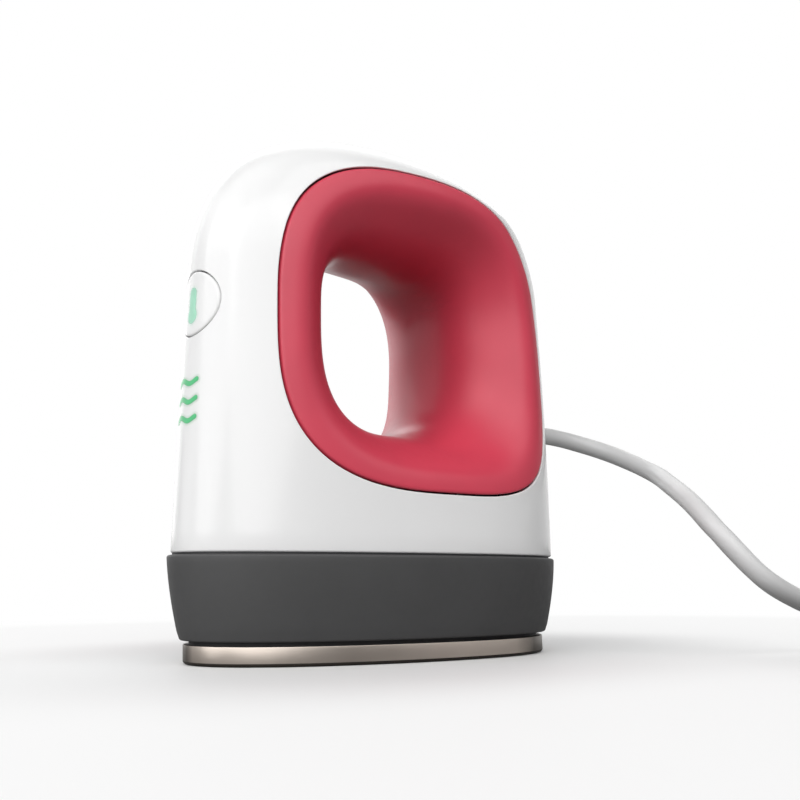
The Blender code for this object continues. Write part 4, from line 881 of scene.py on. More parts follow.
def printed_ink(name, ink, roughness, stroke, fill, strength, border_strength=0.22):
    """Thin ink on a clear patch: a solid line, a faint border and, inside a closed sign, a fill."""
    marks = bpy.context.scene.press_marks
    half = getattr(marks, stroke) / 2
    finish = Finish(name, ink, roughness)
    tree = finish.tree
    grained = finish.group(moulded_grain(), grain_scale=3000.0, shade_scale=400.0)
    finish.textured(grained, "Speck", spread=0.04, gloss=0.02, bump=0.02)
    reach = add_node(tree, "Attribute", attribute_name="reach")["Fac"]
    inside = add_node(tree, "Attribute", attribute_name="inside")["Fac"]
    line = range_node(tree, reach, half - PRINT_BLUR, half + PRINT_BLUR, strength, 0.0)
    border = range_node(tree, reach, half, half + marks.glow, border_strength, 0.0)
    filled = math_node(tree, "MULTIPLY", inside, fill)
    cover = math_node(tree, "MAXIMUM", math_node(tree, "MAXIMUM", line, border), filled)
    finish.link(cover, "Alpha")
    return finish.material


def woven_cloth(name, base, roughness, sheen):
    """Woven strap with a faint sheen on its threads."""
    finish = Finish(name, base, roughness, sheen_weight=sheen)
    weave = finish.group(strap_weave(), thread_scale=900.0)
    finish.textured(weave, "Shade", spread=0.25, gloss=0.05, bump=0.5)
    return finish.material


INNER = {"bump": 0.15, "spread": 0.08}
# Each finish: its maker, its colour or that colour's setting, its roughness and its details
FINISHES = {
    "glossy_white_shell": (moulded_plastic, "shell", 0.24, {
        "bump": 0.004, "spread": 0.003, "gloss": 0.008, "coat_weight": 0.25, "coat_roughness": 0.10,
    }),
    "raspberry_liner": (tunnel_plastic, "grip", 0.40, {}),
    "charcoal_band": (moulded_plastic, "band", 0.55, {"grain": 2200.0, "bump": 0.10, "spread": 0.05}),
    "black_tray": (moulded_plastic, "tray", 0.60, {"bump": 0.08, "spread": 0.05}),
    "champagne_plate": (plate_metal, "plate", 0.37, {}),
    # The plate's lower edge finish is painted shade
    "dark_plate_edge": (brushed_metal, "plate_edge", 0.5, {"spread": 0.03}),
    "green_print": (printed_ink, "print_green", 0.30, {
        "stroke": "wave_stroke", "fill": 0.0, "strength": 0.95,
    }),
    "pale_sign": (printed_ink, "sign_green", 0.30, {
        "stroke": "sign_stroke", "fill": 0.80, "strength": 0.9,
    }),
    "white_cord_sheath": (moulded_plastic, "cord", 0.38, {"grain": 1800.0, "spread": 0.015}),
    "woven_strap": (woven_cloth, "strap", 0.75, {"sheen": 0.3}),
    "blade_steel": (brushed_metal, "steel", 0.28, {"stretch": 20.0}),
    "circuit_board": (moulded_plastic, (0.02, 0.16, 0.07), 0.42, INNER),
    "black_component": (moulded_plastic, (0.03, 0.03, 0.033), 0.50, INNER),
    "yellow_wrap": (moulded_plastic, (0.75, 0.58, 0.10), 0.50, INNER),
    "blue_terminal": (moulded_plastic, (0.05, 0.18, 0.45), 0.45, INNER),
    "frosted_guide": (moulded_plastic, (0.82, 0.90, 0.86), 0.30, INNER),
    "green_light": (moulded_plastic, (0.10, 0.75, 0.33), 0.30, INNER),
    "mica_felt": (moulded_plastic, (0.74, 0.70, 0.60), 0.85, {**INNER, "grain": 1200.0}),
    "inner_steel": (brushed_metal, (0.60, 0.60, 0.62), 0.32, {"stretch": 8.0}),
    "inner_lead": (moulded_plastic, (0.80, 0.80, 0.80), 0.40, INNER),
}
# The finish that each slot of the solids gets inside the shell
INNER_FINISHES = {
    "board_green": "circuit_board",
    "component_black": "black_component",
    "component_yellow": "yellow_wrap",
    "terminal_blue": "blue_terminal",
    "clear_guide": "frosted_guide",
    "light_green": "green_light",
    "mica_pad": "mica_felt",
    "steel": "inner_steel",
    "white_cord": "inner_lead",
}


def finish_named(name):
    """Each finish is made once, when its first piece asks for it."""
    if name in bpy.data.materials:
        return bpy.data.materials[name]
    maker, base, roughness, details = FINISHES[name]
    if isinstance(base, str):
        base = getattr(bpy.context.scene.press_finish, base)
    return maker(name, base, roughness, **details)


def give_finish(node, name):
    """Dress a carried-over CAD node."""
    node.data.materials.clear()
    node.data.materials.append(finish_named(name))


class PRESS_OT_camera(bpy.types.Operator):
    """Place the camera where the press is seen from beside its nose"""

    bl_idname = "press.camera"
    bl_label = "Camera"

    def execute(self, context):
        studio = context.scene.press_studio
        lens = bpy.data.cameras.new("studio_camera")
        lens.sensor_width = 36.0
        lens.lens = studio.focal_length
        lens.clip_start = 0.005
        lens.clip_end = 20.0
        camera = bpy.data.objects.new("studio_camera", lens)
        context.scene.collection.objects.link(camera)
        camera.location = studio.camera_place
        camera.rotation_euler = (math.pi / 2 + studio.camera_pitch, 0, studio.camera_turn)
        context.scene.camera = camera
        return {"FINISHED"}


def smooth_points(places, steps):
    """Points on a smooth curve through given places."""
    places = [Vector(place) for place in places]
    ends = [places[0] * 2 - places[1]] + places + [places[-1] * 2 - places[-2]]
    points = []
    for p0, p1, p2, p3 in zip(ends, ends[1:], ends[2:], ends[3:]):
        for step in range(steps):
            t = step / steps
            points.append(
                (p1 * 2 + (p2 - p0) * t + (p0 * 2 - p1 * 5 + p2 * 4 - p3) * t ** 2
                 + (p1 * 3 - p0 - p2 * 3 + p3) * t ** 3) / 2
            )
    return points + [places[-1]]


def path_length(points):
    return sum((b - a).length for a, b in zip(points, points[1:]))


class CordPath:
    """The cord's whole line: out of the gland, over the table, round the coil and to the plug."""

    points_per_turn = 48
    points_per_leg = 8
    tail_steps = 12

    def __init__(self, scene):
        form, cord = PressForm(scene), scene.press_cord
        self.cord = cord
        self.diameter = cord.radius * 2
        self.floor = cord.radius + cord.tie_thickness + SEAT_GAP + FLOOR_CLEARANCE
        self.exit = Vector((0, form.rear_face(), form.exit_height))
        tip = self.exit + Vector((0, cord.relief_length + SEAT_GAP, 0))
        self.coil_start = Vector((cord.coil_x - self.diameter, cord.coil_y, self.floor))
        end = self.coil_start - Vector((SEAT_GAP, 0, 0))
        lead_in = end - Vector((self.diameter, 0, 0))
        self.free = smooth_points([tip, *CORD_ROUTE, lead_in, end], self.points_per_leg)
        self.coil = self.coil_line()

    def coil_line(self):
        """The coil's turns, wound in and out layer by layer, and the tail up to the plug."""
        cord = self.cord
        top = Vector((0, 0, self.floor + cord.coil_pitch * (cord.coil_layers - 1)))
        self.plug_axis = top.z + cord.radius + SEAT_GAP + cord.plug_height / 2
        tail = path_length([top] + self.tail_line(top))
        used = path_length(self.free) + tail + self.diameter + cord.relief_length
        per_layer = cord.coil_turns / cord.coil_layers
        middle = (cord.cord_length - used) / (2 * math.pi * cord.coil_turns)
        self.spread = cord.coil_pitch * per_layer
        self.outer = middle + self.spread / 2
        self.centre = Vector((cord.coil_x, cord.coil_y - self.outer, 0))
        points = [self.coil_start]
        for step in range(round(cord.coil_turns * self.points_per_turn) + 1):
            turned = step / self.points_per_turn
            phase = turned / per_layer
            layer = min(cord.coil_layers - 1, int(phase))
            along = phase - layer
            draw = along if layer % 2 == 0 else 1 - along
            radius = self.outer - self.spread * draw
            angle = math.pi / 2 - 2 * math.pi * turned
            x, y = radius * math.cos(angle), radius * math.sin(angle)
            z = self.floor + cord.coil_pitch * self.layer_height(turned, per_layer)
            points.append(self.centre + Vector((x, y, z)))
        return points + self.tail_line(points[-1])

    def tail_line(self, start):
        """From the last turn the cord bends inwards and climbs to the plug on top."""
        climb = self.plug_axis - start.z
        points = []
        for step in range(1, self.tail_steps + 1):
            part = step / self.tail_steps
            angle = math.pi / 2 * part
            rise = climb * (1 - math.cos(math.pi * part)) / 2
            across = self.cord.tail_bend * math.sin(angle)
            along = self.cord.tail_bend * (math.cos(angle) - 1)
            points.append(start + Vector((across, along, rise)))
        return points + [points[-1] - Vector((0, self.diameter, 0))]

    def layer_height(self, turned, per_layer):
        """How many layers up the cord is; each change of layer takes half a turn."""
        height = 0.0
        for change in range(1, self.cord.coil_layers):
            part = min(1.0, max(0.0, (turned - change * per_layer) * 2 + 1 / 2))
            height += part * part * (3 - 2 * part)
        return height


class PRESS_OT_cord(bpy.types.Operator):
    """Lay the mains cord from the gland to its coil"""

    bl_idname = "press.cord"
    bl_label = "Cord and coil"

    def execute(self, context):
        path = CordPath(context.scene)
        line = [path.exit + Vector((0, CORD_START, 0))] + path.free + path.coil
        data = bpy.data.curves.new("cord_run", "CURVE")
        data.dimensions = "3D"
        data.bevel_depth = path.cord.radius
        data.bevel_resolution = 4
        data.use_fill_caps = True
        data.twist_mode = "Z_UP"
        spline = data.splines.new("POLY")
        spline.points.add(len(line) - 1)
        for place, point in zip(spline.points, line):
            place.co = (*point, 1.0)
        spline.use_smooth = True
        data.materials.append(finish_named("white_cord_sheath"))
        cord = bpy.data.objects.new("cord_run", data)
        context.scene.collection.objects.link(cord)
        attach(cord, "housing")
        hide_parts("power_cord", "cord_coil")
        return {"FINISHED"}


class PRESS_OT_plug(bpy.types.Operator):
    """Shape the plug with its grip ribs and collar, and the strap round the coil"""

    bl_idname = "press.plug"
    bl_label = "Plug and strap"

    def execute(self, context):
        path = CordPath(context.scene)
        self.make_plug(path)
        self.make_strap(path)
        for name in ("plug_blade_right", "plug_blade_left"):
            give_finish(frame["nodes"][name], "blade_steel")
        return {"FINISHED"}

    def make_plug(self, path):
        """Collar and body in one skin, with a slot in the plug's face for each blade."""
        x, y, z = path.coil[-1]
        start = y - SEAT_GAP
        back = start - path.cord.collar_length
        face = back - path.cord.plug_length
        rows = [(start - behind, radius, radius, 2.0) for behind, radius in PLUG_COLLAR]
        rows += [(back - behind, *sizes) for behind, *sizes in PLUG_BODY]
        rows += [(face + ahead, *sizes) for ahead, *sizes in PLUG_FACE]
        rings = []
        for place, half, high, squareness in rows:
            ring = []
            for c, s in circle(1.0, 0.0, count=48):
                across = math.copysign(abs(c) ** (2 / squareness), c)
                upright = math.copysign(abs(s) ** (2 / squareness), s)
                ring.append((x + half * across, place, z + high * upright))
            rings.append(ring)
        plug = make_piece("plug_shell", rings, "white_cord_sheath", "housing", 50)
        for side in (-1, 1):
            slot = bmesh.new()
            add_block(slot, BLADE_SLOT, (x + side * BLADE_SPACING / 2, face, z))
            cut(plug, new_mesh_object("blade_slot", slot))
        sharpen(plug, 50)
        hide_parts("plug_body")

    def make_strap(self, path):
        """A band with rounded edges that runs round the coil's section at one angle."""
        cord = path.cord
        inner = path.outer - path.spread - cord.radius - SEAT_GAP * 2
        outside = path.outer + cord.radius + SEAT_GAP * 2
        low = path.floor - cord.radius - SEAT_GAP
        high = path.floor + cord.coil_pitch * (cord.coil_layers - 1) + cord.radius + SEAT_GAP
        corners = (
            (outside - cord.radius, high - cord.radius, 0),
            (inner + cord.radius, high - cord.radius, 90),
            (inner + cord.radius, low + cord.radius, 180),
            (outside - cord.radius, low + cord.radius, 270),
        )
        out = Vector((math.cos(cord.tie_angle), math.sin(cord.tie_angle), 0))
        along = Vector((-out.y, out.x, 0))
        half, thick = cord.tie_width / 2, cord.tie_thickness
        rings = []
        for grow, side in (
            (0.0, -half), (0.0, half), (thick * STRAP_EDGE, half),
            (thick, half * STRAP_FLAT), (thick, -half * STRAP_FLAT), (thick * STRAP_EDGE, -half),
        ):
            ring = []
            reach = cord.radius + grow
            for middle, height, first in corners:
                for degrees in quarter(8):
                    angle = math.radians(first + degrees)
                    place = path.centre + out * (middle + reach * math.cos(angle)) + along * side
                    ring.append(place + Vector((0, 0, height + reach * math.sin(angle))))
            rings.append(ring)
        strap = make_piece("tie_strap", rings, "woven_strap", "housing", 50, wrap=True)
        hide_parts("coil_tie")


class PRESS_OT_shell(bpy.types.Operator):
    """Build the white shell with its grip opening, button hole and cord hole"""

    bl_idname = "press.shell"
    bl_label = "Shell"

    def execute(self, context):
        scene = context.scene
        form = PressForm(scene)
        shell = self.make_wall(form)
        plain = bpy.data.objects.new("plain_form", shell.data.copy())
        scene.collection.objects.link(plain)
        cut(shell, self.grip_cutter(scene, form))
        cut(shell, self.button_cutter(form))
        cut(shell, self.cord_cutter(form))
        self.copy_shading(shell, plain)
        remove(plain)
        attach(shell, "housing")
        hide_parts("housing_shell")
        return {"FINISHED"}

    def make_wall(self, form):
        """The outer skin, its rounded lower edge and the inner skin as one closed form."""
        outer = [form.shell_ring(z) for z in form.shell_heights(form.drawn_foot + form.foot_edge)]
        inner = inner_rings(outer, form.wall, cap_last=True)
        inner[0] = [(p.x, p.y, form.drawn_foot) for p in inner[0]]
        edge = []
        for rise, inset in rounding(form.foot_edge, (90, 60, 30)):
            ring = form.shell_ring(form.foot, inset)
            edge.append([(p.x, p.y, form.drawn_foot + rise) for p in ring])
        rings = list(reversed(inner)) + edge + outer
        return make_piece("shell_skin", rings, "glossy_white_shell")

    def grip_cutter(self, scene, form):
        """A cutter through the grip that flares at the skin, so it leaves a rounded lip."""
        rim = grow_loop(matched_loops(scene, count=216)[0], scene.press_grip.joint / 2)
        steps = rounding(form.lip, LIP_ANGLES)
        rows = [[(form.base_width * CUTTER_REACH, y, z) for y, z in grow_loop(rim, steps[0][0])]]
        for growth, depth in steps:
            ring = grow_loop(rim, growth)
            rows.append([(form.half_width(y, z) - depth, y, z) for y, z in ring])
        return make_piece("grip_cutter", rows + mirrored(rows))

    def button_cutter(self, form):
        """A cutter for the button's hole that flares at the nose in the same way."""
        radius, height = form.button_radius + form.button_joint, form.button_height
        steps = rounding(form.lip, LIP_ANGLES)
        front = -form.half_length - BUTTON_CUT_START
        back = form.section(height)[0] + radius + form.wall
        rings = [[(x, front, z) for x, z in circle(radius + steps[0][0], height)]]
        for growth, depth in steps:
            places = circle(radius + growth, height)
            rings.append([(x, form.nose_y(x, z) + depth, z) for x, z in places])
        rings.append([(x, back, z) for x, z in circle(radius, height)])
        return make_piece("button_cutter", rings)

    def cord_cutter(self, form):
        hole = circle(CORD_HOLE_RADIUS, form.exit_height, count=64)
        ends = [form.rear_face() + shift for shift in CORD_HOLE_ENDS]
        return make_piece("cord_cutter", [[(x, y, z) for x, z in hole] for y in ends])

    def copy_shading(self, shell, plain):
        """Give the cut skin the uncut form's smooth shading, away from the lips."""
        work = bmesh.new()
        work.from_mesh(plain.data)
        tree = BVHTree.FromBMesh(work)
        work.free()
        skin = shell.vertex_groups.new(name="skin")
        verts = shell.data.vertices
        on_skin = [vert.index for vert in verts if tree.find_nearest(vert.co)[3] < SKIN_REACH]
        skin.add(on_skin, 1.0, "REPLACE")
        sharpen(shell, 50)
        step = shell.modifiers.new("shading", "DATA_TRANSFER")
        step.object = plain
        step.use_loop_data = True
        step.data_types_loops = {"CUSTOM_NORMAL"}
        step.loop_mapping = "POLYINTERP_NEAREST"
        step.vertex_group = "skin"
        apply_modifiers(shell)


class PRESS_OT_grip(bpy.types.Operator):
    """Build the coloured tunnel that rolls from one side of the shell to the other"""

    bl_idname = "press.grip"
    bl_label = "Grip liner"

    def execute(self, context):
        scene = context.scene
        form, grip = PressForm(scene), scene.press_grip
        rim, waist = matched_loops(scene)
        lip_rows = []
        tongue = (LINER_TONGUE, 0.0, 0.0, 0.0)
        for (inward, depth), extra in zip(rounding(form.lip, (90, 90, 60, 30)), tongue):
            ring = grow_loop(rim, -grip.joint / 2 - inward)
            lip_rows.append([(form.half_width(y, z) - depth - extra, y, z) for y, z in ring])
        base = grow_loop(rim, -grip.joint / 2 - form.lip)
        rolls = [self.roll_row(form, grip, base, waist, step) for step in range(LINER_STEPS + 1)]
        rows = lip_rows + rolls + mirrored(lip_rows)
        cut_off = len(lip_rows) + LINER_BACK_START
        back = inner_rings(rows, grip.wall)[cut_off:len(rows) - cut_off]
        rings = rows + list(reversed(back))
        liner = make_piece("grip_skin", rings, "raspberry_liner", "housing", 60, wrap=True)
        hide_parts("grip_liner_right", "grip_liner_left")
        return {"FINISHED"}

    def roll_row(self, form, grip, base, waist, step):
        """One ring of the tunnel: from the rim on the right, through the waist, to the left."""
        angle = math.pi * step / LINER_STEPS
        roll = max(0.0, math.sin(angle)) ** grip.roll_power
        bead = grip.bead * math.sin(math.pi * min(roll / grip.bead_reach, 1.0)) ** 2
        bulge = math.copysign(bead, math.cos(angle))
        ring = []
        for (y0, z0), (y1, z1) in zip(base, waist):
            y, z = y0 + (y1 - y0) * roll, z0 + (z1 - z0) * roll
            ring.append((form.half_width(y, z) * math.cos(angle) + bulge, y, z))
        return ring


class PRESS_OT_base(bpy.types.Operator):
    """Build the dark band and the bright heat plate"""

    bl_idname = "press.base"
    bl_label = "Band and heat plate"

    def execute(self, context):
        form = PressForm(context.scene)
        self.make_band(form)
        self.make_plate(form)
        seam = (form.band_top, form.drawn_foot)
        self.make_gasket("seam_gasket", form, SEAM_GASKET, seam)
        neck = (form.plate_thickness, form.band_foot + GASKET_OVERLAP)
        insets = [form.plate_inset + inset for inset in PLATE_GASKET]
        self.make_gasket("plate_gasket", form, insets, neck)
        give_finish(frame["nodes"]["base_frame"], "black_tray")
        return {"FINISHED"}

    def ringed_piece(self, name, form, stations, finish, wrap=True):
        """A piece that follows the base's plan through pairs of inset and height."""
        rings = [form.base_ring(*station) for station in stations]
        return make_piece(name, rings, finish, "housing", 40, wrap)

    def make_band(self, form):
        """The band's rounded outer skin, its upper flange and its inner side."""
        edge = form.band_edge
        corner = rounding(edge, quarter(4))
        foot = form.band_inset(form.band_foot)
        low, high = form.band_foot + edge, form.band_top - edge
        heights = [low + (high - low) * step / BAND_STEPS for step in range(1, BAND_STEPS)]
        flange = form.inset + form.wall + FLANGE_SEAT - SEAT_GAP
        flange_z = form.band_top - form.band_flange
        stations = [(foot + inward, form.band_foot + rise) for inward, rise in corner]
        stations += [(form.band_inset(z), z) for z in heights]
        stations += [(inward, form.band_top - drop) for drop, inward in corner]
        stations += [
            (flange, form.band_top),
            (flange, flange_z),
            (form.band_inset(flange_z) + form.band_wall, flange_z),
            (foot + form.band_wall, form.band_foot),
        ]
        band = self.ringed_piece("band_skin", form, stations, "charcoal_band")
        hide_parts("skirt")

    def make_gasket(self, name, form, insets, heights):
        """A dark ring that closes the joint between two pieces."""
        (near, far), (low, high) = insets, heights
        stations = [(near, low), (near, high), (far, high), (far, low)]
        self.ringed_piece(name, form, stations, "black_tray")

    def make_plate(self, form):
        """The plate with painted shade on its rounded lower edge, and the hidden step above it."""
        edge, bevel = form.plate_edge, form.plate_edge / 4
        corner = rounding(edge, quarter(6))
        stations = [
            (form.plate_inset + edge + PLATE_RING_STEP * step, 0.0) for step in range(6, 0, -1)
        ]
        stations += [(form.plate_inset + inward, rise) for inward, rise in corner]
        stations += [
            (form.plate_inset, form.plate_thickness - bevel),
            (form.plate_inset + bevel * BEVEL_MIDDLE, form.plate_thickness - bevel * BEVEL_MIDDLE),
            (form.plate_inset + bevel, form.plate_thickness),
            (form.plate_step, form.plate_thickness),
            (form.plate_step, form.plate_thickness + PLATE_STEP_RISE),
        ]
        plate = self.ringed_piece("plate_skin", form, stations, "champagne_plate", wrap=False)
        # Painted shade: the rounded lower edge takes the near-black finish
        plate.data.materials.append(finish_named("dark_plate_edge"))
        for face in plate.data.polygons:
            if face.center.z < edge and abs(face.normal.z) < FLAT_NORMAL:
                face.material_index = 1
        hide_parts("heat_plate")


class PRESS_OT_button(bpy.types.Operator):
    """Build the round power button that lies flush in the nose"""

    bl_idname = "press.button"
    bl_label = "Power button"

    def execute(self, context):
        form = PressForm(context.scene)
        radius, centre, lip = form.button_radius, form.button_height, form.lip
        back = form.section(form.level(-form.half_length, centre))[0] + form.button_depth
        faces = [(radius * step / 10, 0.0) for step in range(1, 10)] + [(radius - lip, 0.0)]
        edge = [(radius - inward, depth) for inward, depth in rounding(lip, (25, 50, 75, 90))]
        rings = [self.face_ring(form, reach, depth) for reach, depth in faces + edge]
        rings.append([(x, back, z) for x, y, z in rings[-1]])
        stem = circle(STEM_RADIUS, centre)
        stem_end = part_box("switch_plunger")[0].y - SEAT_GAP
        rings += [[(x, y, z) for x, z in stem] for y in (back, stem_end)]
        work = bmesh.new()
        rows = add_rows(work, rings, cap_last=True)
        middle = work.verts.new((0, form.nose_y(0, centre), centre))
        for i in range(ROUND_COUNT):
            work.faces.new((rows[0][i], rows[0][(i + 1) % ROUND_COUNT], middle))
        bmesh.ops.recalc_face_normals(work, faces=work.faces)
        low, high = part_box("power_button")
        self.add_tab(work, form, centre + radius + TAB_GAP, high.z)
        self.add_tab(work, form, low.z, centre - radius - TAB_GAP)
        button = new_mesh_object("button_cap", work, "glossy_white_shell", "button")
        sharpen(button, 50)
        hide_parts("power_button")
        return {"FINISHED"}

    def face_ring(self, form, reach, depth):
        """A ring round the button's middle that lies a depth behind the nose."""
        places = circle(reach, form.button_height)
        return [(x, form.nose_y(x, z) + depth, z) for x, z in places]

    def add_tab(self, work, form, low, high):
        """A stop behind the shell's inner face that keeps the button from falling out."""
        reach = form.button_radius + TAB_REACH
        faces = [form.nose_y(TAB_WIDTH / 2, form.button_height + side * reach) for side in (-1, 1)]
        y = max(faces) + form.wall + SEAT_GAP + TAB_SETBACK
        add_block(work, (TAB_WIDTH, TAB_THICKNESS, high - low), (0, y, (low + high) / 2))


class PRESS_OT_marks(bpy.types.Operator):
    """Print the three heat waves on the nose and the thermometer sign on the button"""

    bl_idname = "press.marks"
    bl_label = "Waves and sign"

    def execute(self, context):
        form, marks = PressForm(context.scene), context.scene.press_marks
        for index in range(3):
            height = marks.wave_top - marks.wave_pitch * index
            path = []
            for step in range(WAVE_STEPS + 1):
                x = marks.wave_half_width * (2 * step / WAVE_STEPS - 1)
                swing = math.sin(WAVE_SWING * x / marks.wave_half_width)
                path.append((x + marks.wave_shift, height - marks.wave_rise * swing))
            wave = self.make_patch(f"heat_wave_{index + 1}", form, path, False, "green_print")
            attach(wave, "housing")
        outline = self.thermometer(marks)
        sign = self.make_patch("thermometer_sign", form, outline, True, "pale_sign")
        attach(sign, "button")
        return {"FINISHED"}

    def thermometer(self, marks):
        """Outline of a thermometer: a round-topped tube that opens into a bulb."""
        bulb, tube = marks.sign_bulb, marks.sign_tube
        top_z = marks.sign_foot + marks.sign_height - tube
        opening = math.asin(tube / bulb)
        first, last = math.pi / 2 - opening, opening - 3 * math.pi / 2
        foot = arc(bulb, marks.sign_foot + bulb, first, last, 24)
        return foot + arc(tube, top_z, math.pi, 0.0, 12)

    def make_patch(self, name, form, path, closed, finish):
        """A thin patch on the nose that knows at each place how far it is from the mark's line."""
        marks = bpy.context.scene.press_marks
        margin, step = marks.glow + marks.wave_stroke, PATCH_STEP
        xs = [x for x, _ in path]
        zs = [z for _, z in path]
        columns = int((max(xs) - min(xs) + 2 * margin) / step) + 1
        rows = int((max(zs) - min(zs) + 2 * margin) / step) + 1
        work = bmesh.new()
        reach_layer = work.verts.layers.float.new("reach")
        inside_layer = work.verts.layers.float.new("inside")
        line = np.array(path + path[:1] if closed else path)
        grid = []
        for row in range(rows):
            z = min(zs) - margin + step * row
            made = []
            for column in range(columns):
                x = min(xs) - margin + step * column
                vert = work.verts.new((x, form.nose_y(x, z) - marks.lift, z))
                reach, crossings = self.reach_of((x, z), line)
                vert[reach_layer] = reach
                vert[inside_layer] = 1.0 if closed and crossings % 2 else 0.0
                made.append(vert)
            grid.append(made)
        for low, high in zip(grid, grid[1:]):
            for i in range(columns - 1):
                work.faces.new((low[i], low[i + 1], high[i + 1], high[i]))
        return new_mesh_object(name, work, finish)

    def reach_of(self, place, line):
        """Distance from a place to a line, and how often the line crosses the level beside it."""
        x, z = place
        first, along = line[:-1], line[1:] - line[:-1]
        part = (x - first[:, 0]) * along[:, 0] + (z - first[:, 1]) * along[:, 1]
        part = np.clip(part / (along ** 2).sum(axis=1), 0.0, 1.0)
        near = first + along * part[:, None]
        reach = float(np.hypot(near[:, 0] - x, near[:, 1] - z).min())
        spans = (line[:-1, 1] > z) != (line[1:, 1] > z)
        meets = first[:, 0] + along[:, 0] * (z - first[:, 1]) / np.where(spans, along[:, 1], 1.0)
        return reach, int((spans & (meets > x)).sum())


class PRESS_OT_gland(bpy.types.Operator):
    """Build the tapered gland at the cord's exit"""

    bl_idname = "press.gland"
    bl_label = "Gland"

    def execute(self, context):
        form, end = PressForm(context.scene), context.scene.press_cord.relief_length
        rear = form.rear_face()
        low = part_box("strain_relief")[0].y - rear
        anchor = -form.wall - GLAND_ANCHOR_GAP
        profile = [
            (GLAND_THROAT, low), (GLAND_ANCHOR, low + GLAND_THROAT_LENGTH),
            (GLAND_ANCHOR, anchor), (GLAND_COLLAR[0][0], anchor),
        ]
        profile += GLAND_COLLAR
        for index in range(GLAND_RIBS):
            start = GLAND_RIBS_START + index * GLAND_RIB_PITCH
            reach = GLAND_NECK - GLAND_TAPER * (start - GLAND_TAPER_START)
            profile += [(reach - groove, start + along) for groove, along in GLAND_RIB]
        profile += [(reach, end - back) for reach, back in GLAND_TIP]
        rings = []
        for reach, y in profile:
            rings.append([(x, rear + y, z) for x, z in circle(reach, form.exit_height, count=48)])
        gland = make_piece("gland_boot", rings, "white_cord_sheath", "housing", 50)
        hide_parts("strain_relief")
        return {"FINISHED"}


class PRESS_OT_inside(bpy.types.Operator):
    """Give the boards, heater, screws and wires inside their finishes"""

    bl_idname = "press.inside"
    bl_label = "Inside"

    def execute(self, context):
        for part in frame["record"]["subparts"]:
            node, slot = frame["nodes"][part["node"]], part["material_slot"]
            if node.hide_render or slot not in INNER_FINISHES:
                continue
            if not node.name.startswith("plug_blade"):
                give_finish(node, INNER_FINISHES[slot])
        return {"FINISHED"}


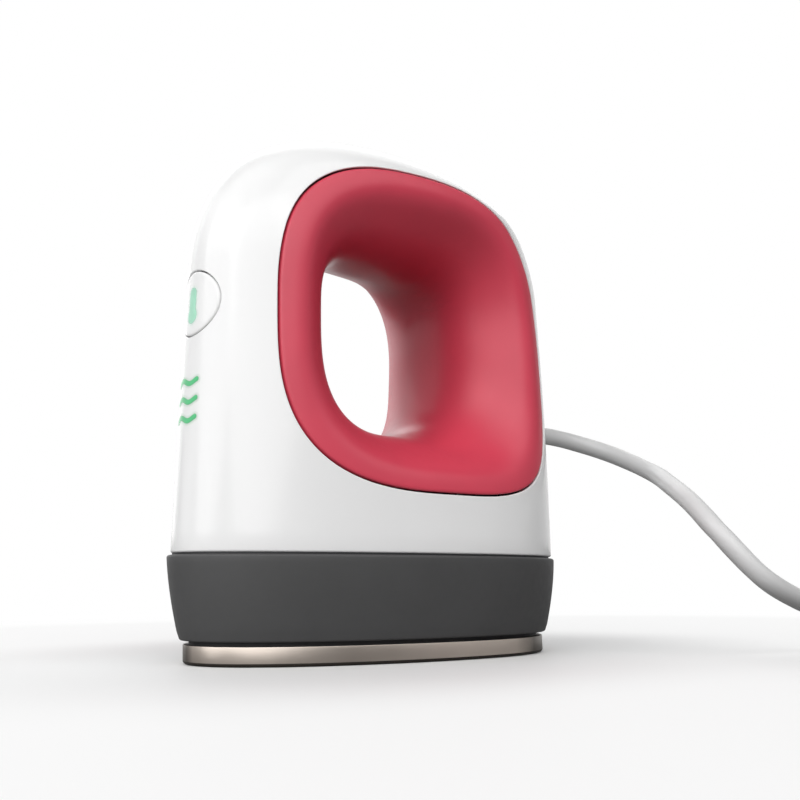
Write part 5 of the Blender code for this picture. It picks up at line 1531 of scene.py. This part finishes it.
class PRESS_OT_stage(bpy.types.Operator):
    """Set up the pale floor, the soft lamps and the plain surroundings"""

    bl_idname = "press.stage"
    bl_label = "Studio stage"

    def execute(self, context):
        scene = context.scene
        scene.view_settings.view_transform = "Standard"
        self.make_floor(scene.press_finish)
        self.make_world(scene)
        for name, (around, height) in LAMPS.items():
            self.make_lamp(scene, name, math.radians(around), math.radians(height))
        return {"FINISHED"}

    def make_floor(self, tones):
        """A pale disc that looks white to the camera away from the press's own shadow."""
        work = bmesh.new()
        bmesh.ops.create_circle(work, cap_ends=True, segments=96, radius=FLOOR_RADIUS)
        floor = new_mesh_object("studio_floor", work)
        floor.location = (0, 0, -FLOOR_DROP)
        material = bpy.data.materials.new("studio_floor")
        material.use_nodes = True
        tree = material.node_tree
        shader = tree.nodes["Principled BSDF"]
        shader.inputs["Roughness"].default_value = FLOOR_ROUGHNESS
        shader.inputs["Specular IOR Level"].default_value = FLOOR_SPECULAR
        rays = add_node(tree, "LightPath")
        received = math_node(tree, "MAXIMUM", rays["Is Diffuse Ray"], rays["Is Glossy Ray"])
        tint = mix_node(tree, received, tones.floor, tones.bounce)
        tree.links.new(tint, shader.inputs["Base Color"])
        place = {0: object_place(tree), 1: FLOOR_SQUEEZE}
        squeezed = add_node(tree, "VectorMath", place, operation="MULTIPLY")[0]
        distance = add_node(tree, "VectorMath", {0: squeezed}, operation="LENGTH")["Value"]
        fades = []
        for start, end, top in FLOOR_FADES:
            fades.append(range_node(tree, distance, start, end, 0.0, top, "SMOOTHSTEP"))
        faded = math_node(tree, "MAXIMUM", *fades)
        glowing = math_node(tree, "MULTIPLY", faded, self.seen(tree, rays))
        glow = add_node(tree, "Emission")[0]
        mix = add_node(tree, "MixShader", {0: glowing, 1: shader.outputs[0], 2: glow})[0]
        tree.links.new(mix, tree.nodes["Material Output"].inputs["Surface"])
        floor.data.materials.append(material)

    def make_world(self, scene):
        """White to the camera and, behind the press, to mirror-like surfaces."""
        world = bpy.data.worlds.new("studio_world")
        scene.world = world
        world.use_nodes = True
        tree = world.node_tree
        plain = tree.nodes["Background"]
        plain.inputs["Color"].default_value = (1, 1, 1, 1)
        rays = add_node(tree, "LightPath")
        way = {0: add_node(tree, "TexCoord")["Generated"], 1: BACKDROP_WAY}
        beyond = add_node(tree, "VectorMath", way, operation="DOT_PRODUCT")["Value"]
        backdrop = range_node(tree, beyond, *BACKDROP_FADE, kind="SMOOTHSTEP")
        card = math_node(tree, "MULTIPLY", backdrop, rays["Is Glossy Ray"])
        shown = math_node(tree, "MAXIMUM", self.seen(tree, rays), card)
        tree.links.new(shown, plain.inputs["Strength"])

    def seen(self, tree, rays):
        """1 for what the camera sees straight or through something clear."""
        return math_node(tree, "MAXIMUM", rays["Is Camera Ray"], rays["Is Transmission Ray"])

    def make_lamp(self, scene, name, around, height):
        """A wide soft lamp; around is 0 in front of the nose and 90 degrees on the right."""
        data = bpy.data.lights.new(name, "SUN")
        data.angle = scene.press_studio.softness
        data.energy = getattr(scene.press_studio, name)
        lamp = bpy.data.objects.new(name, data)
        scene.collection.objects.link(lamp)
        side = math.cos(height)
        place = Vector((math.sin(around) * side, -math.cos(around) * side, math.sin(height)))
        lamp.location = place
        lamp.rotation_euler = place.to_track_quat("Z", "Y").to_euler()


class PRESS_PT_panel(bpy.types.Panel):
    """Lists the press's settings and the operators that build it"""

    bl_idname = "PRESS_PT_panel"
    bl_label = "Mini Heat Press"
    bl_space_type = "VIEW_3D"
    bl_region_type = "UI"
    bl_category = "Heat Press"

    def draw(self, context):
        layout = self.layout
        for operator in OPERATORS:
            layout.operator(operator.bl_idname)
        for slot, group in SETTINGS.items():
            column = layout.column(align=True)
            column.label(text=group.__doc__)
            for name in group.__annotations__:
                column.prop(getattr(context.scene, slot), name)


SETTINGS = {
    "press_base": PressBaseSizes,
    "press_shell": PressShellSizes,
    "press_grip": PressGripSizes,
    "press_cord": PressCordSizes,
    "press_marks": PressMarkSizes,
    "press_finish": PressFinishColours,
    "press_studio": PressStudio,
}
OPERATORS = [
    PRESS_OT_camera,
    PRESS_OT_plug,
    PRESS_OT_cord,
    PRESS_OT_shell,
    PRESS_OT_grip,
    PRESS_OT_base,
    PRESS_OT_button,
    PRESS_OT_marks,
    PRESS_OT_gland,
    PRESS_OT_inside,
    PRESS_OT_stage,
]


def register():
    for group in SETTINGS.values():
        bpy.utils.register_class(group)
    for slot, group in SETTINGS.items():
        setattr(bpy.types.Scene, slot, PointerProperty(type=group))
    for operator in OPERATORS:
        bpy.utils.register_class(operator)
    bpy.utils.register_class(PRESS_PT_panel)


def unregister():
    bpy.utils.unregister_class(PRESS_PT_panel)
    for operator in reversed(OPERATORS):
        bpy.utils.unregister_class(operator)
    for slot in SETTINGS:
        delattr(bpy.types.Scene, slot)
    for group in reversed(list(SETTINGS.values())):
        bpy.utils.unregister_class(group)


def main():
    register()
    for operator in OPERATORS:
        family, name = operator.bl_idname.split(".")
        getattr(getattr(bpy.ops, family), name)()


if __name__ == "__main__":
    main()
